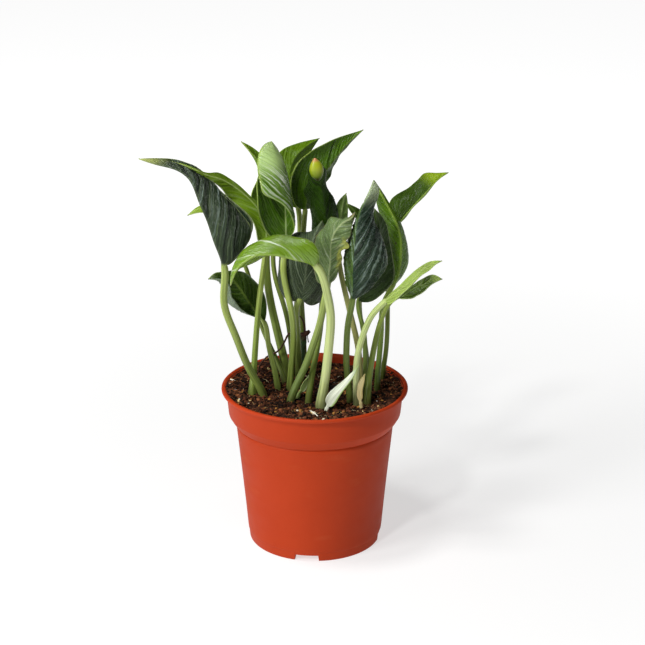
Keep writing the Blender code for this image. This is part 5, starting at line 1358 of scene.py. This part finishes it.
# %% Fibres
def fibre_mesh(name, count, shortest, longest, radius):
    """Thin strands that lie on the soil: a parabola of random bend, with three-sided rings."""
    rows, around = 7, 3
    t = np.linspace(-0.5, 0.5, rows)[None, :, None]
    length = shortest + (longest - shortest) * draw.random(count) ** 1.5
    turn = math.tau * draw.random(count)
    way = np.stack([np.cos(turn), np.sin(turn), 0.35 * (draw.random(count) - 0.4)], -1)
    side = np.stack([-np.sin(turn), np.cos(turn), 0.0 * turn], -1)
    rise = np.array([0.0, 0.0, 1.0])
    bend = (draw.random(count) - 0.5) * 0.5 * length
    middle = (scatter(count, 52.0)[:, None] + t * length[:, None, None] * way[:, None]
              + 4.0 * t**2 * bend[:, None, None] * side[:, None] + (0.0, 0.0, 0.35))
    angle = np.arange(around) / around * math.tau
    thin = radius * (0.6 + 0.8 * draw.random(count))
    slim = thin[:, None, None, None] * (1.1 - 1.6 * np.abs(t))[..., None]
    ring = (np.cos(angle)[None, None, :, None] * side[:, None, None]
            + np.sin(angle)[None, None, :, None] * rise)
    points = middle[:, :, None] + slim * ring
    index = np.arange(rows * around).reshape(rows, around)
    quads = ring_quads(index)
    ends = np.array([index[0][::-1], index[-1]])
    start = (np.arange(count) * rows * around)[:, None, None]
    tone = np.repeat(draw.random(count), rows * around)
    return make_mesh(name, points.reshape(-1, 3), (quads[None] + start).reshape(-1, 4),
                     (ends[None] + start).reshape(-1, 3), {"tone": tone})


strand_mesh = fibre_mesh("soil_fibres", 700, 1.5, 9.0, 0.13)
new_object("soil_fibres", strand_mesh)
print("fibres", len(strand_mesh.polygons), "faces")

# %% [markdown]
# Husk is dull and broken in colour: nearly black when damp, with tan and cream chips. Each crumb
# has one tone of its own, and the ground between takes its shades from cells of the same size.


# %% Soil materials
def soil_material(name, shades, by_tone):
    """Shades of husk, chosen by each crumb's own tone or by noise on the ground."""
    made, tree, shader = new_material(name, 0.9, 1.4)
    here = add(tree, "TexCoord", out="Object")
    grain = add(tree, "TexNoise", {"Vector": here, "Scale": 600.0, "Detail": 4.0})
    if by_tone:
        value = add(tree, "Attribute", out="Fac", attribute_name="tone")
    else:
        cells = add(tree, "TexVoronoi", {"Vector": here, "Scale": 480.0}, "Color")
        value = add(tree, "SeparateColor", {0: cells})
    ramp = add(tree, "ValToRGB", {0: value}, None)
    ramp.color_ramp.interpolation = "CONSTANT" if by_tone else "LINEAR"
    stops = ramp.color_ramp.elements
    stops[0].position, stops[0].color = shades[0][0], linear(shades[0][1])
    stops[1].position, stops[1].color = shades[-1][0], linear(shades[-1][1])
    for place, colour in shades[1:-1]:
        stops.new(place).color = linear(colour)
    coloured = add(tree, "mix", (add(tree, "step", (grain, 0.4, 0.7, 0.0, 0.6)), ramp.outputs[0],
                                 linear("150b06")))
    bump = add(tree, "Bump", {"Strength": 0.8, "Distance": 0.4 * MM, "Height": grain})
    give(shader, {"Base Color": coloured, "Normal": bump, "Specular IOR Level": 0.25})
    return made


ground_mesh.materials.append(soil_material("ground coco peat", [
    (0.0, "140a06"), (0.35, "2a170e"), (0.6, "452717"), (0.85, "6a3c22"), (1.0, "8a5632")], False))
crumb_mesh.materials.append(soil_material("coco husk crumbs", [
    (0.0, "170b06"), (0.25, "321b0d"), (0.45, "4f2b1a"), (0.68, "6a3d27"), (0.86, "855233"),
    (0.95, "b5803f"), (0.985, "d9bd80"), (0.996, "e8dcc0")], True))
strand_mesh.materials.append(soil_material("coco husk fibres", [
    (0.0, "3a2114"), (0.35, "6a4026"), (0.65, "8f6234"), (0.85, "c9a870"), (0.94, "ead9ac"),
    (0.985, "f2efe6")], True))

# %% [markdown]
# A few cut ends of root have dried to a pale pith, lighter than all around them and hardly
# shiny. They are rods like the old stem's, because a flat strip would vanish from the side.

# %% Slivers of dry root
SLIVERS = [[(-2.8, -38.7, 102.6), (-0.5, -43.5, 103.3), (2.2, -49.2, 103.2)],
           [(-55.0, 12.0, 103.8), (-51.5, 10.0, 103.4)],
           [(-37.0, -3.0, 101.6), (-32.0, -8.0, 102.2)]]
sliver_mesh = join("dry_slivers", [
    rod_grid(route, 0.46, 12, 8, 0.03, (0.7, 1.0, 0.5), 0.7) for route in SLIVERS])
pith, tree, shader = new_material("dry root pith", 0.7)
here = add(tree, "TexCoord", out="Object")
grain = add(tree, "TexNoise", {"Vector": here, "Scale": 900.0, "Detail": 3.0})
coloured = add(tree, "mix", (add(tree, "step", (grain, 0.45, 0.75, 0.0, 0.5)), linear("eae6d6"),
                             linear("b39c6c")))
give(shader, {"Base Color": coloured})
sliver_mesh.materials.append(pith)
new_object("dry_slivers", sliver_mesh)
print("slivers", len(sliver_mesh.polygons), "faces")

# %% [markdown]
# ## Finish
# The finer plant must fill the same space as the solid model. The last line brings the scene up to
# date.

# %% Finish
bpy.context.view_layer.update()
